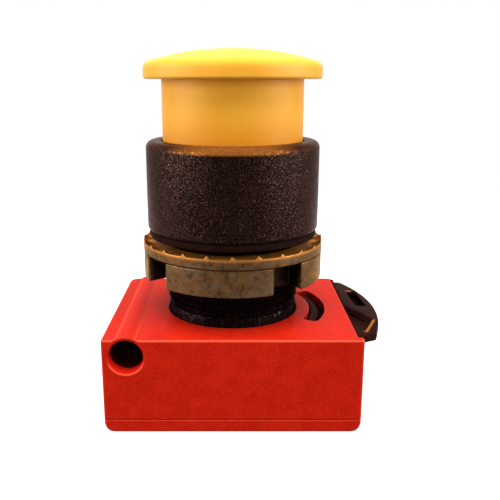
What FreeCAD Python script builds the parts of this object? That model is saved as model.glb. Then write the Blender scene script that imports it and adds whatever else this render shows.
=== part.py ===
"""A mushroom-head push button on a latch-on contact base. Millimetres, +Z up.

The origin is on the button's axis, on the underside of the base. +X runs towards the latch slide and
-Y towards the mouth of the screw tunnel. The head is modelled up, with its contact closed.
"""
import FreeCAD, Part
import math
import os

# Travel and running clearances
TRAVEL = 5.5
SLIDE_TRAVEL = 0.8
RUNNING_GAP = 0.25
SEAT_GAP = 0.1
FIT_GAP = 0.05

# Base housing and its bottom cover
BASE_WIDTH = 40.8
BASE_DEPTH = 32.4
SIDE_WALL = 1.8
TOP_WALL = 1.65
BACK_CORNER_RADIUS = 1.8
FRONT_CORNER_RADIUS = 0.6
TOP_EDGE_RADIUS = 0.4
SEAM_BEVEL = 0.25
COVER_HEIGHT = 2.0
COVER_FLOOR = 1.25
COVER_SIDE_RADIUS = 1.9

# Screw tunnel along the left of the base, and the locking screw in it
TUNNEL_RADIUS = 2.75
TUNNEL_WALL = 0.6
TUNNEL_INSET = 3.8
TUNNEL_DROP = 2.9
TUNNEL_DEPTH = 16.0
TUNNEL_CHAMFER = 0.25
TUNNEL_END_GAP = 0.5
TAIL_GAP = 0.1
LOCK_SCREW_RADIUS = 2.0
LOCK_SCREW_LENGTH = 9.5
LOCK_SCREW_SOCKET = 1.1
LOCK_SCREW_SOCKET_DEPTH = 2.0

# Corner posts and the screws that hold the cover
POST_SIZE = 4.2
COVER_SCREW_RADIUS = 1.1
COVER_SCREW_HEAD_RADIUS = 2.0
COVER_SCREW_HEAD_HEIGHT = 1.0
COVER_SCREW_SINK = 0.2
COVER_SCREW_GRIP = 6.0

# Wire entries in the left and right walls
ENTRY_WIDTH = 5.4
ENTRY_HEIGHT = 4.6

# Latch slide, which hooks the barrel's groove
SLIDE_THICKNESS = 1.3
JAW_HALF_ANGLE = 30.0
GROOVE_DEPTH = 0.6
PRONG_LENGTH = 8.0
SLIDE_NECK_WIDTH = 21.0
RECESS_DEPTH = 0.95
RECESS_LIP = 1.1
TAB_REACH = 4.8
TAB_END_REACH = 1.0
TAB_FRONT_INSET = 4.05
TAB_INNER_INSET = 2.25
TAB_CORNER_RADIUS = 0.9
TAB_THICKNESS = 1.95
TAB_DROP = 0.35
TAB_BEVEL = 0.3
RAMP_Y = 6.2
RAMP_DROP = 0.9
PRY_SLOT_LENGTH = 7.8
PRY_SLOT_WIDTH = 1.7
PRY_SLOT_DEPTH = 1.4
PRY_SLOT_Y = 4.5
PRY_SLOT_INSET = 1.75
PRY_SLOT_ANGLE = 3.5
THUMB_DEPTH = 1.3
THUMB_SLOPE = 0.6
THUMB_BACK_Y = 1.5
THUMB_CORNER_Y = 5.9
THUMB_CORNER_INSET = 1.55
THUMB_FRONT_Y = 10.4
THUMB_FRONT_REACH = 2.1
ARC_SLOT_INNER = 13.4
ARC_SLOT_WIDTH = 2.75
ARC_SLOT_ROUND = 0.9
ARC_SLOT_HALF_ANGLE = 31.0
ARC_BOSS_GAP = 0.2
ARC_BOSS_HALF_ANGLE = 26.0
ARC_BOSS_DROP = 0.5

# Contacts and terminals
CONTACT_SPREAD = 5.6
TIP_RADIUS = 1.1
TIP_HEIGHT = 0.5
BRIDGE_THICKNESS = 0.8
BRIDGE_WIDTH = 5.0
STRIP_THICKNESS = 0.8
CARRIER_RADIUS = 4.0
CARRIER_FOOT = 0.4
CARRIER_FLANGE = 1.0
HOLDER_CEILING = 0.9
HOLDER_GAP = 0.2
CHANNEL_WIDTH = 6.8
TERMINAL_SCREW_RADIUS = 1.4
TERMINAL_HEAD_RADIUS = 2.2
TERMINAL_HEAD_HEIGHT = 1.5
TERMINAL_PITCH = 20.4
CLAMP_THICKNESS = 0.8
WIRE_GAP = 1.0
DRIVER_SLOT_WIDTH = 0.7
DRIVER_SLOT_DEPTH = 0.6

# Threaded barrel, its flange and the stem's stop
BARREL_RADIUS = 11.0
BARREL_WALL = 2.0
BARREL_COLLAR = 1.2
BARREL_FLANGE = 2.0
BARREL_STOP = 1.4
STANDOFF = 13.3

# Gasket, lock washer and ring nut
GASKET_THICKNESS = 1.15
GASKET_RADIUS = 14.1
PANEL_GAP = 0.35
WASHER_RADIUS = 15.25
WASHER_THICKNESS = 1.7
TOOTH_COUNT = 24
TOOTH_HEIGHT = 0.5
TOOTH_WIDTH = 1.1
TOOTH_LENGTH = 1.7
NUT_STEP = 0.05
NUT_HEIGHT = 4.4
NUT_NOTCHES = 4
NOTCH_WIDTH = 5.5
NOTCH_FLOOR = 0.85
NOTCH_ANGLE = -54.7

# Bezel and wiper seal
BEZEL_WALL = 2.55
BEZEL_LIP = 2.0
BEZEL_TOP_RADIUS = 1.2
BEZEL_FOOT_BEVEL = 0.4
SEAL_HEIGHT = 1.2
SEAL_DEPTH = 0.8
SEAL_INSET = 0.9

# Mushroom head
NECK_RADIUS = 11.6
NECK_WALL = 1.5
NECK_ENGAGEMENT = 2.8
FINGER_GAP = 4.2
HEAD_RADIUS = 14.5
HEAD_HEIGHT = 4.8
DOME_RADIUS = 48.0
SHOULDER_RADIUS = 1.3
RIM_BEVEL = 0.35
DOME_WALL = 1.6
BOSS_RADIUS = 4.5
RIB_COUNT = 4
RIB_THICKNESS = 1.2
RIB_HEIGHT = 5.0

# Stem, its fixing screw, spring seat and springs
STEM_RADIUS = 6.0
STEM_BORE = 2.7
STEM_COLLAR = 1.5
STEM_DISC = 1.6
STEM_DISC_RISE = 4.0
STEM_CAP = 4.0
HEAD_SCREW_RADIUS = 1.5
HEAD_SCREW_HEAD_RADIUS = 2.4
HEAD_SCREW_HEAD_HEIGHT = 1.8
HEAD_SCREW_LENGTH = 9.5
SPRING_SEAT = 1.4
SPRING_SEAT_WIDTH = 2.5
SPRING_GAP = 0.3
RETURN_WIRE = 1.0
RETURN_TURNS = 6
CONTACT_WIRE = 0.7
CONTACT_TURNS = 4
CONTACT_SPRING_SOLID = 4.6
COIL_RUNS = 20
WIRE_SIDES = 6

# Wire latch that holds the stem up or down, and its retainer
LATCH_WIRE = 0.9
LATCH_GROOVE_DEPTH = 1.0
LATCH_GROOVE_WIDTH = 1.3
LATCH_LEG = 12.0
RETAINER_THICKNESS = 0.9
RETAINER_FOOT_WALL = 0.5

# Heights of the base, stacked from the underside up
carrier_foot_z = COVER_FLOOR + RUNNING_GAP + TRAVEL
bridge_z = carrier_foot_z + CARRIER_FOOT
bridge_top = bridge_z + BRIDGE_THICKNESS
contact_z = bridge_top + TIP_HEIGHT
strip_z = contact_z + TIP_HEIGHT
strip_top = strip_z + STRIP_THICKNESS
holder_top = strip_top + HOLDER_CEILING
barrel_foot = holder_top + HOLDER_GAP
groove_low = barrel_foot + BARREL_COLLAR
slide_z = groove_low + SEAT_GAP
slide_top = slide_z + SLIDE_THICKNESS
groove_high = slide_top + SEAT_GAP
ceiling_z = groove_high + SEAT_GAP
base_top = ceiling_z + TOP_WALL

# Heights of the operator above the base
gasket_z = base_top + STANDOFF
bezel_z = gasket_z + GASKET_THICKNESS
flange_z = bezel_z + BEZEL_LIP
barrel_top = flange_z + BARREL_FLANGE
latch_z = barrel_top + LATCH_WIRE / 2 + FIT_GAP
retainer_z = barrel_top + LATCH_WIRE + 2 * FIT_GAP + RUNNING_GAP
retainer_top = retainer_z + RETAINER_THICKNESS
neck_foot = retainer_top + RUNNING_GAP + TRAVEL
bezel_top = neck_foot + NECK_ENGAGEMENT
rim_z = bezel_top + TRAVEL + FINGER_GAP
head_ceiling = rim_z + DOME_WALL
apex_z = rim_z + HEAD_HEIGHT
washer_top = gasket_z - PANEL_GAP - TOOTH_HEIGHT
washer_z = washer_top - WASHER_THICKNESS
nut_z = washer_z - NUT_HEIGHT
carrier_flange_z = holder_top + TRAVEL + CONTACT_SPRING_SOLID
carrier_top = carrier_flange_z + CARRIER_FLANGE
stem_foot = carrier_top + FIT_GAP
collar_top = barrel_top - BARREL_STOP - SEAT_GAP
collar_z = collar_top - STEM_COLLAR
disc_z = neck_foot + STEM_DISC_RISE
stem_top = disc_z + STEM_DISC
seat_top = barrel_foot + SPRING_SEAT

# Radii and plan positions that follow from the driving sizes
half_width = BASE_WIDTH / 2
half_depth = BASE_DEPTH / 2
inner_x = half_width - SIDE_WALL
inner_y = half_depth - SIDE_WALL
barrel_bore = BARREL_RADIUS - BARREL_WALL
barrel_hole = BARREL_RADIUS + RUNNING_GAP
groove_radius = BARREL_RADIUS - GROOVE_DEPTH
bezel_bore = NECK_RADIUS + RUNNING_GAP
bezel_radius = bezel_bore + BEZEL_WALL
neck_bore = NECK_RADIUS - NECK_WALL
nut_radius = WASHER_RADIUS - NUT_STEP
tunnel_x = -half_width + TUNNEL_INSET
tunnel_z = base_top - TUNNEL_DROP
tunnel_end = -half_depth + TUNNEL_DEPTH
tube_radius = TUNNEL_RADIUS + TUNNEL_WALL
screw_bore = LOCK_SCREW_RADIUS + FIT_GAP
tail_front = barrel_hole + TAIL_GAP
lock_screw_tip = tail_front - RUNNING_GAP
lock_screw_head = lock_screw_tip - LOCK_SCREW_LENGTH
recess_x = half_width - RECESS_DEPTH
recess_y = half_depth - RECESS_LIP
recess_z = slide_z - RUNNING_GAP
tab_x = recess_x + RUNNING_GAP
tab_y = recess_y - RUNNING_GAP
tab_top = base_top - TAB_DROP
terminal_x = TERMINAL_PITCH / 2
post_x = inner_x - POST_SIZE / 2
post_y = inner_y - POST_SIZE / 2
spring_radius = barrel_bore - SPRING_GAP - RETURN_WIRE / 2
seat_bore = barrel_bore - FIT_GAP - SPRING_SEAT_WIDTH
carrier_flange_radius = seat_bore - RUNNING_GAP
contact_spring_radius = CARRIER_RADIUS + RUNNING_GAP + CONTACT_WIRE
latch_x = STEM_RADIUS - LATCH_GROOVE_DEPTH + FIT_GAP + LATCH_WIRE / 2
EPS = 1e-4
UP = FreeCAD.Vector(0, 0, 1)
ALONG_Y = FreeCAD.Vector(0, 1, 0)
ORIGIN = FreeCAD.Vector(0, 0, 0)


def point(x, y, z):
    """A point or direction."""
    return FreeCAD.Vector(x, y, z)


def block(x_span, y_span, z_span):
    """An upright box between three pairs of limits."""
    size = [high - low for low, high in (x_span, y_span, z_span)]
    return Part.makeBox(*size, point(x_span[0], y_span[0], z_span[0]))


def centred(half_x, half_y, z_span):
    """A box centred on the axis."""
    return block((-half_x, half_x), (-half_y, half_y), z_span)


def cylinder(radius, z_low, z_high, x=0.0, y=0.0):
    """An upright cylinder."""
    return Part.makeCylinder(radius, z_high - z_low, point(x, y, z_low))


def tube(outer, inner, z_low, z_high):
    """An upright ring on the axis."""
    return cylinder(outer, z_low, z_high).cut(cylinder(inner, z_low, z_high))


def rod(radius, y_low, y_high, x, z):
    """A cylinder along Y."""
    return Part.makeCylinder(radius, y_high - y_low, point(x, y_low, z), ALONG_Y)


def revolved(corners):
    """A solid of revolution about the axis, from (radius, height) corners."""
    wire = Part.makePolygon([point(r, 0, z) for r, z in corners + corners[:1]])
    return Part.Face(wire).revolve(ORIGIN, UP, 360)


def prism(corners, z_low, z_high):
    """An upright prism over (x, y) corners."""
    wire = Part.makePolygon([point(x, y, z_low) for x, y in corners + corners[:1]])
    return Part.Face(wire).extrude(point(0, 0, z_high - z_low))


def polar(radius, degrees):
    """The (x, y) of a polar position."""
    angle = math.radians(degrees)
    return radius * math.cos(angle), radius * math.sin(angle)


def sector(inner, outer, half_angle, z_low, z_high):
    """A piece of a ring, centred on +X."""
    def arc(radius, start, end):
        middle = (start + end) / 2
        return Part.Arc(*[point(*polar(radius, a), z_low) for a in (start, middle, end)]).toShape()

    def spoke(degrees, start, end):
        ends = [point(*polar(radius, degrees), z_low) for radius in (start, end)]
        return Part.LineSegment(*ends).toShape()

    edges = [
        arc(outer, -half_angle, half_angle),
        spoke(half_angle, outer, inner),
        arc(inner, half_angle, -half_angle),
        spoke(-half_angle, inner, outer),
    ]
    return Part.Face(Part.Wire(edges)).extrude(point(0, 0, z_high - z_low))


def vertical_edges(shape):
    """The straight edges that run along Z."""
    return [e for e in shape.Edges if len(e.Vertexes) == 2 and is_vertical(*e.Vertexes)]


def is_vertical(first, second):
    """Whether two corners stand above each other."""
    return abs(first.X - second.X) < EPS and abs(first.Y - second.Y) < EPS


def edges_at(shape, height):
    """The edges that lie flat at one height."""
    return [e for e in shape.Edges if is_level(e.BoundBox, height)]


def is_level(box, height):
    """Whether a box lies flat at one height."""
    return abs(box.ZMin - height) < EPS and abs(box.ZMax - height) < EPS


def wire_ring(wire, place, outward):
    """The wire's cross-section at a place, level with an outward direction."""
    corners = [polar(wire / 2, 360 * side / WIRE_SIDES) for side in range(WIRE_SIDES)]
    ring = [place + outward * out + UP * up for out, up in corners]
    return Part.makePolygon(ring + ring[:1])


def coil(radius, wire, turns, z_low, z_high):
    """An open helical spring that stands between two seats, in short straight runs."""
    start = z_low + wire / 2 + FIT_GAP
    rise = z_high - z_low - wire - 2 * FIT_GAP
    steps = turns * COIL_RUNS
    rings = []
    for step in range(steps + 1):
        outward = point(*polar(1, 360 * step / COIL_RUNS), 0)
        rings.append(wire_ring(wire, outward * radius + UP * (start + rise * step / steps), outward))
    return Part.makeLoft(rings, True, True)


def mirrored(shape):
    """The shape and its mirror image across the YZ plane, as separate solids."""
    return Part.makeCompound([shape, shape.mirror(ORIGIN, point(1, 0, 0))])


def base_outline(z_low, z_high):
    """The base's plan, with rounder corners at the back than at the front."""
    body = centred(half_width, half_depth, (z_low, z_high))
    back = [e for e in vertical_edges(body) if e.CenterOfMass.y > 0]
    body = body.makeFillet(BACK_CORNER_RADIUS, back)
    corner_x = half_width - EPS
    front = [e for e in vertical_edges(body) if e.CenterOfMass.y < 0 and abs(e.CenterOfMass.x) > corner_x]
    return body.makeFillet(FRONT_CORNER_RADIUS, front)


def corner_places():
    """Where the four cover screws stand."""
    return [(sx * post_x, sy * post_y) for sx in (-1, 1) for sy in (-1, 1)]


def wire_entry():
    """The opening for a wire through the right wall, level with the gap under the strip."""
    half = ENTRY_WIDTH / 2
    return block((inner_x - 1, half_width + 1), (-half, half), (strip_z - ENTRY_HEIGHT, strip_z))


def base_housing():
    """The red cap of the base: walls, top, corner posts, screw tunnel and the latch slide's recess."""
    body = base_outline(COVER_HEIGHT, base_top)
    body = body.makeFillet(TOP_EDGE_RADIUS, edges_at(body, base_top))
    body = body.makeChamfer(SEAM_BEVEL, edges_at(body, COVER_HEIGHT))
    ridge = rod(tube_radius, -half_depth, half_depth, tunnel_x, tunnel_z)
    body = body.fuse(ridge).removeSplitter()
    cavity = centred(inner_x, inner_y, (COVER_HEIGHT, ceiling_z))
    tunnel_tube = rod(tube_radius, -inner_y, tail_front - TUNNEL_END_GAP, tunnel_x, tunnel_z)
    posts = [centred(POST_SIZE / 2, POST_SIZE / 2, (COVER_HEIGHT, holder_top)) for _ in corner_places()]
    for post, (x, y) in zip(posts, corner_places()):
        post.translate(point(x, y, 0))
    body = body.cut(cavity.cut(posts + [tunnel_tube]))
    entry = wire_entry()
    screw_end = COVER_HEIGHT + COVER_SCREW_GRIP + RUNNING_GAP
    screw_holes = [
        cylinder(COVER_SCREW_RADIUS + FIT_GAP, COVER_HEIGHT, screw_end, x, y) for x, y in corner_places()
    ]
    slot_outer = ARC_SLOT_INNER + ARC_SLOT_WIDTH
    arc_slot = sector(ARC_SLOT_INNER, slot_outer, ARC_SLOT_HALF_ANGLE, ceiling_z, base_top)
    arc_slot = arc_slot.makeFillet(ARC_SLOT_ROUND, vertical_edges(arc_slot))
    neck_half = SLIDE_NECK_WIDTH / 2 + RUNNING_GAP
    return body.cut(
        [
            cylinder(barrel_hole, ceiling_z, base_top),
            arc_slot,
            block((recess_x, half_width + 1), (-recess_y, recess_y), (recess_z, base_top + 1)),
            block((inner_x, half_width), (-neck_half, neck_half), (recess_z, ceiling_z)),
            entry,
            entry.mirror(ORIGIN, point(1, 0, 0)),
            rod(TUNNEL_RADIUS, -half_depth, tunnel_end, tunnel_x, tunnel_z),
            rod(screw_bore, tunnel_end, tail_front, tunnel_x, tunnel_z),
            tunnel_mouth(),
        ]
        + screw_holes
    )


def tunnel_mouth():
    """The small chamfer round the tunnel's mouth."""
    wide = TUNNEL_RADIUS + TUNNEL_CHAMFER
    return Part.makeCone(wide, TUNNEL_RADIUS, TUNNEL_CHAMFER, point(tunnel_x, -half_depth, tunnel_z), ALONG_Y)


def base_cover():
    """The bottom plate that closes the base, with rounded sides and recessed screws."""
    trough = centred(half_width, half_depth, (0, COVER_HEIGHT))
    sides = [e for e in edges_at(trough, 0) if abs(e.CenterOfMass.x) > half_width - EPS]
    body = base_outline(0, COVER_HEIGHT).common(trough.makeFillet(COVER_SIDE_RADIUS, sides))
    well = centred(terminal_x - TERMINAL_HEAD_RADIUS, CHANNEL_WIDTH / 2, (COVER_FLOOR, COVER_HEIGHT))
    well = well.fuse(cylinder(CARRIER_RADIUS + RUNNING_GAP, COVER_FLOOR, COVER_HEIGHT))
    access_radius = TERMINAL_HEAD_RADIUS + RUNNING_GAP
    access = [cylinder(access_radius, 0, COVER_HEIGHT, sx * terminal_x) for sx in (-1, 1)]
    head_radius = COVER_SCREW_HEAD_RADIUS + RUNNING_GAP
    sink = COVER_SCREW_SINK + COVER_SCREW_HEAD_HEIGHT
    sinks = [cylinder(head_radius, 0, sink, x, y) for x, y in corner_places()]
    holes = [cylinder(COVER_SCREW_RADIUS + FIT_GAP, 0, COVER_HEIGHT, x, y) for x, y in corner_places()]
    return body.cut([well] + access + sinks + holes)


def driver_slot(x, y, z, radius):
    """The slot across a screw head, cut up from its face."""
    half = DRIVER_SLOT_WIDTH / 2
    return block((x - radius, x + radius), (y - half, y + half), (z, z + DRIVER_SLOT_DEPTH))


def headed_screw(x, y, head_z, head_radius, head_height, radius, length):
    """A slotted screw that points up, with its head's face at head_z."""
    head = cylinder(head_radius, head_z, head_z + head_height, x, y)
    shank = cylinder(radius, head_z + head_height, head_z + head_height + length, x, y)
    return head.fuse(shank).cut(driver_slot(x, y, head_z, head_radius)).removeSplitter()


def cover_screws():
    """The four screws that hold the cover to the corner posts."""
    length = COVER_HEIGHT - COVER_SCREW_SINK - COVER_SCREW_HEAD_HEIGHT + COVER_SCREW_GRIP
    sizes = (COVER_SCREW_HEAD_RADIUS, COVER_SCREW_HEAD_HEIGHT, COVER_SCREW_RADIUS, length)
    return Part.makeCompound([headed_screw(x, y, COVER_SCREW_SINK, *sizes) for x, y in corner_places()])


def locking_screw():
    """The grub screw in the tunnel, which clamps the slide's tail against the rear wall."""
    cone = LOCK_SCREW_RADIUS / 2
    shank = rod(LOCK_SCREW_RADIUS, lock_screw_head, lock_screw_tip - cone, tunnel_x, tunnel_z)
    start = point(tunnel_x, lock_screw_tip - cone, tunnel_z)
    tip = Part.makeCone(LOCK_SCREW_RADIUS, LOCK_SCREW_RADIUS / 2, cone, start, ALONG_Y)
    socket_end = lock_screw_head + LOCK_SCREW_SOCKET_DEPTH
    socket = rod(LOCK_SCREW_SOCKET, lock_screw_head, socket_end, tunnel_x, tunnel_z)
    return shank.fuse(tip).cut(socket).removeSplitter()


def contact_holder():
    """The insulating insert that fills the base, guides the carrier and backs the fixed contacts."""
    z_span = (COVER_HEIGHT, holder_top)
    body = centred(inner_x - SEAT_GAP, inner_y - SEAT_GAP, z_span)
    corner = (POST_SIZE / 2 + SEAT_GAP, POST_SIZE / 2 + SEAT_GAP, z_span)
    cuts = [centred(*corner) for _ in corner_places()]
    for cut, (x, y) in zip(cuts, corner_places()):
        cut.translate(point(x + math.copysign(SEAT_GAP, x), y + math.copysign(SEAT_GAP, y), 0))
    half_channel = CHANNEL_WIDTH / 2
    cuts.append(centred(half_width, half_channel, (COVER_HEIGHT, strip_z)))
    strip_half = BRIDGE_WIDTH / 2 + FIT_GAP
    cuts.append(centred(terminal_x + TERMINAL_HEAD_RADIUS + FIT_GAP, strip_half, (COVER_HEIGHT, strip_top)))
    cuts.append(cylinder(CARRIER_RADIUS + RUNNING_GAP, COVER_HEIGHT, holder_top))
    screw_clear = TERMINAL_SCREW_RADIUS + RUNNING_GAP
    cuts += [cylinder(screw_clear, strip_z, holder_top, sx * terminal_x) for sx in (-1, 1)]
    cuts.append(rod(tube_radius + SEAT_GAP, -half_depth, half_depth, tunnel_x, tunnel_z))
    return body.cut(cuts)


def fixed_contacts():
    """The two plated strips, each from a contact tip to a terminal screw."""
    inner = CONTACT_SPREAD - TIP_RADIUS
    outer = terminal_x + TERMINAL_HEAD_RADIUS
    half = BRIDGE_WIDTH / 2
    strip = block((inner, outer), (-half, half), (strip_z, strip_top))
    strip = strip.cut(cylinder(TERMINAL_SCREW_RADIUS + FIT_GAP, strip_z, strip_top, terminal_x))
    return strip, strip.mirror(ORIGIN, point(1, 0, 0))


def contact_tips(z_low):
    """A pair of round contact buttons."""
    return mirrored(cylinder(TIP_RADIUS, z_low, z_low + TIP_HEIGHT, CONTACT_SPREAD))


def terminal_clamps():
    """The two square washers that press the wires to the strips."""
    half = TERMINAL_HEAD_RADIUS
    top = strip_z - WIRE_GAP
    plate = block((terminal_x - half, terminal_x + half), (-half, half), (top - CLAMP_THICKNESS, top))
    hole = cylinder(TERMINAL_SCREW_RADIUS + FIT_GAP, top - CLAMP_THICKNESS, top, terminal_x)
    return mirrored(plate.cut(hole))


def terminal_screws():
    """The two terminal screws, turned from under the base."""
    head_z = strip_z - WIRE_GAP - CLAMP_THICKNESS - TERMINAL_HEAD_HEIGHT
    length = CLAMP_THICKNESS + WIRE_GAP + STRIP_THICKNESS + HOLDER_CEILING / 2
    sizes = (TERMINAL_HEAD_RADIUS, TERMINAL_HEAD_HEIGHT, TERMINAL_SCREW_RADIUS, length)
    return mirrored(headed_screw(terminal_x, 0, head_z, *sizes))


def contact_carrier():
    """The plunger of the contact block, with the window that holds the bridge."""
    body = cylinder(CARRIER_RADIUS, carrier_foot_z, carrier_flange_z)
    body = body.fuse(cylinder(carrier_flange_radius, carrier_flange_z, carrier_top)).removeSplitter()
    return body.cut(centred(CARRIER_RADIUS, BRIDGE_WIDTH / 2, (bridge_z, bridge_top)))


def contact_bridge():
    """The moving bar that joins the two fixed contacts."""
    return centred(CONTACT_SPREAD + TIP_RADIUS, BRIDGE_WIDTH / 2, (bridge_z, bridge_top))


def tab_outline(z_low, z_high):
    """The crescent of the slide's finger tab: an arc outside, with its front end cut off on a slant."""
    far_x = half_width + TAB_REACH
    end_x = half_width + TAB_END_REACH
    front_y = tab_y - TAB_FRONT_INSET
    bulge = TAB_REACH - TAB_END_REACH
    arc_radius = (tab_y ** 2 + bulge ** 2) / (2 * bulge)
    front_x = far_x - arc_radius + math.sqrt(arc_radius ** 2 - front_y ** 2)
    plan = [
        (front_x, -front_y),
        (end_x, tab_y),
        (tab_x, tab_y),
        (tab_x, TAB_INNER_INSET - tab_y),
        (front_x, -front_y),
    ]
    corners = [point(x, y, z_low) for x, y in plan]
    rim = Part.Arc(corners[0], point(far_x, 0, z_low), corners[1]).toShape()
    outline = Part.Wire([rim] + Part.makePolygon(corners[1:]).Edges)
    tab = Part.Face(outline).extrude(point(0, 0, z_high - z_low))
    ends = [e for e in vertical_edges(tab) if e.CenterOfMass.x > end_x - EPS]
    return tab.makeFillet(TAB_CORNER_RADIUS, ends)


def front_ramp():
    """The wedge above the tab's sloping front."""
    foot = tab_top - RAMP_DROP
    profile = [(-RAMP_Y, tab_top), (-tab_y, foot), (-tab_y, tab_top + 1), (-RAMP_Y, tab_top + 1)]
    corners = [point(tab_x, y, z) for y, z in profile]
    return Part.Face(Part.makePolygon(corners + corners[:1])).extrude(point(half_width, 0, 0))


def thumb_pocket():
    """The hollow in the front of the tab, for a fingernail, with sloping walls."""
    corner_x = half_width + TAB_REACH - THUMB_CORNER_INSET
    front_x = tab_x + THUMB_FRONT_REACH
    rim = [
        (tab_x, THUMB_BACK_Y),
        (corner_x, -THUMB_CORNER_Y),
        (front_x, -THUMB_FRONT_Y),
        (tab_x, -THUMB_FRONT_Y),
    ]
    floor = [
        (tab_x, THUMB_BACK_Y - THUMB_SLOPE),
        (corner_x - THUMB_SLOPE, -THUMB_CORNER_Y - THUMB_SLOPE),
        (front_x - THUMB_SLOPE, -THUMB_FRONT_Y + THUMB_SLOPE),
        (tab_x, -THUMB_FRONT_Y + THUMB_SLOPE),
    ]
    wires = [
        Part.makePolygon([point(x, y, z) for x, y in ring + ring[:1]])
        for ring, z in ((rim, tab_top), (floor, tab_top - THUMB_DEPTH))
    ]
    return Part.makeLoft(wires, True, True)


def pry_slot():
    """The blind slot in the tab for a screwdriver's blade."""
    half_x = PRY_SLOT_WIDTH / 2
    half_y = PRY_SLOT_LENGTH / 2
    slot = centred(half_x, half_y, (tab_top - PRY_SLOT_DEPTH, tab_top))
    slot.rotate(ORIGIN, UP, PRY_SLOT_ANGLE)
    slot.translate(point(half_width + TAB_REACH - PRY_SLOT_INSET - half_x, PRY_SLOT_Y, 0))
    return slot


def latch_slide():
    """The black slide: a fork round the barrel, a jaw in its groove, a boss in the arc slot and a tab."""
    prong_y = inner_y - RUNNING_GAP
    mouth = barrel_hole + SLIDE_TRAVEL
    z_span = (slide_z, slide_top)
    plate = block((-PRONG_LENGTH, inner_x - SLIDE_TRAVEL - RUNNING_GAP), (-prong_y, prong_y), z_span)
    plate = plate.cut(cylinder(barrel_hole, slide_z, slide_top))
    plate = plate.cut(block((-half_width, 0), (-tail_front, tail_front), z_span))
    jaw = sector(groove_radius + SEAT_GAP, mouth, JAW_HALF_ANGLE, *z_span)
    tail = block((tunnel_x - LOCK_SCREW_RADIUS / 2, 0), (tail_front, prong_y), z_span)
    neck_half = SLIDE_NECK_WIDTH / 2
    neck = block((mouth, tab_x + TAB_END_REACH), (-neck_half, neck_half), z_span)
    boss_inner = ARC_SLOT_INNER + ARC_BOSS_GAP
    boss_outer = ARC_SLOT_INNER + ARC_SLOT_WIDTH - SLIDE_TRAVEL - ARC_BOSS_GAP
    boss_top = base_top - ARC_BOSS_DROP
    boss = sector(boss_inner, boss_outer, ARC_BOSS_HALF_ANGLE, slide_z, boss_top)
    boss = boss.makeChamfer(TAB_BEVEL, edges_at(boss, boss_top))
    tab = tab_outline(tab_top - TAB_THICKNESS, tab_top)
    tab = tab.makeChamfer(TAB_BEVEL, edges_at(tab, tab_top))
    body = plate.fuse([jaw, tail, neck, boss, tab])
    return body.cut([front_ramp(), thumb_pocket(), pry_slot()]).removeSplitter()


def threaded_barrel():
    """The barrel at the thread's outer size, with the latch groove at its foot and a flange at its top."""
    body = revolved(
        [
            (barrel_bore, barrel_foot),
            (BARREL_RADIUS, barrel_foot),
            (BARREL_RADIUS, groove_low),
            (groove_radius, groove_low),
            (groove_radius, groove_high),
            (BARREL_RADIUS, groove_high),
            (BARREL_RADIUS, flange_z),
            (bezel_bore - FIT_GAP, flange_z),
            (bezel_bore - FIT_GAP, barrel_top),
            (STEM_RADIUS + RUNNING_GAP, barrel_top),
            (STEM_RADIUS + RUNNING_GAP, barrel_top - BARREL_STOP),
            (barrel_bore, barrel_top - BARREL_STOP),
        ]
    )
    return body


def spring_seat():
    """The ring pressed into the barrel's foot, on which the return spring stands."""
    return tube(barrel_bore - FIT_GAP, seat_bore, barrel_foot, seat_top)


def bezel():
    """The black collar round the head's neck, with a lip under the flange and a groove for the seal."""
    seal_top = bezel_top - SEAL_INSET
    body = revolved(
        [
            (BARREL_RADIUS + FIT_GAP, bezel_z),
            (bezel_radius - BEZEL_FOOT_BEVEL, bezel_z),
            (bezel_radius, bezel_z + BEZEL_FOOT_BEVEL),
            (bezel_radius, bezel_top),
            (bezel_bore, bezel_top),
            (bezel_bore, seal_top),
            (bezel_bore + SEAL_DEPTH, seal_top),
            (bezel_bore + SEAL_DEPTH, seal_top - SEAL_HEIGHT),
            (bezel_bore, seal_top - SEAL_HEIGHT),
            (bezel_bore, flange_z),
            (BARREL_RADIUS + FIT_GAP, flange_z),
        ]
    )
    rim = [e for e in edges_at(body, bezel_top) if e.BoundBox.XMax > bezel_radius - EPS]
    return body.makeFillet(BEZEL_TOP_RADIUS, rim)


def wiper_seal():
    """The rubber ring that wipes the neck."""
    seal_top = bezel_top - SEAL_INSET - FIT_GAP
    seal_low = bezel_top - SEAL_INSET - SEAL_HEIGHT + FIT_GAP
    back = bezel_bore + SEAL_DEPTH - FIT_GAP
    lip = NECK_RADIUS + FIT_GAP
    middle = (seal_low + seal_top) / 2
    return revolved(
        [(back, seal_low), (back, seal_top), (bezel_bore, seal_top), (lip, middle), (bezel_bore, seal_low)]
    )


def panel_gasket():
    """The rubber washer between the bezel and the panel."""
    return tube(GASKET_RADIUS, BARREL_RADIUS + FIT_GAP, gasket_z, bezel_z)


def lock_washer():
    """The toothed ring that grips the back of the panel."""
    body = tube(WASHER_RADIUS, BARREL_RADIUS + RUNNING_GAP, washer_z, washer_top)
    inner = WASHER_RADIUS - TOOTH_LENGTH
    profile = [point(inner, y, washer_top + rise) for y, rise in
               ((-TOOTH_WIDTH / 2, 0), (0, TOOTH_HEIGHT), (TOOTH_WIDTH / 2, 0))]
    tooth = Part.Face(Part.makePolygon(profile + profile[:1])).extrude(point(TOOTH_LENGTH, 0, 0))
    tooth = tooth.common(cylinder(WASHER_RADIUS, washer_top, washer_top + TOOTH_HEIGHT))
    teeth = []
    for index in range(TOOTH_COUNT):
        copy = tooth.copy()
        copy.rotate(ORIGIN, UP, index * 360 / TOOTH_COUNT)
        teeth.append(copy)
    return body.fuse(teeth).removeSplitter()


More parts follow.
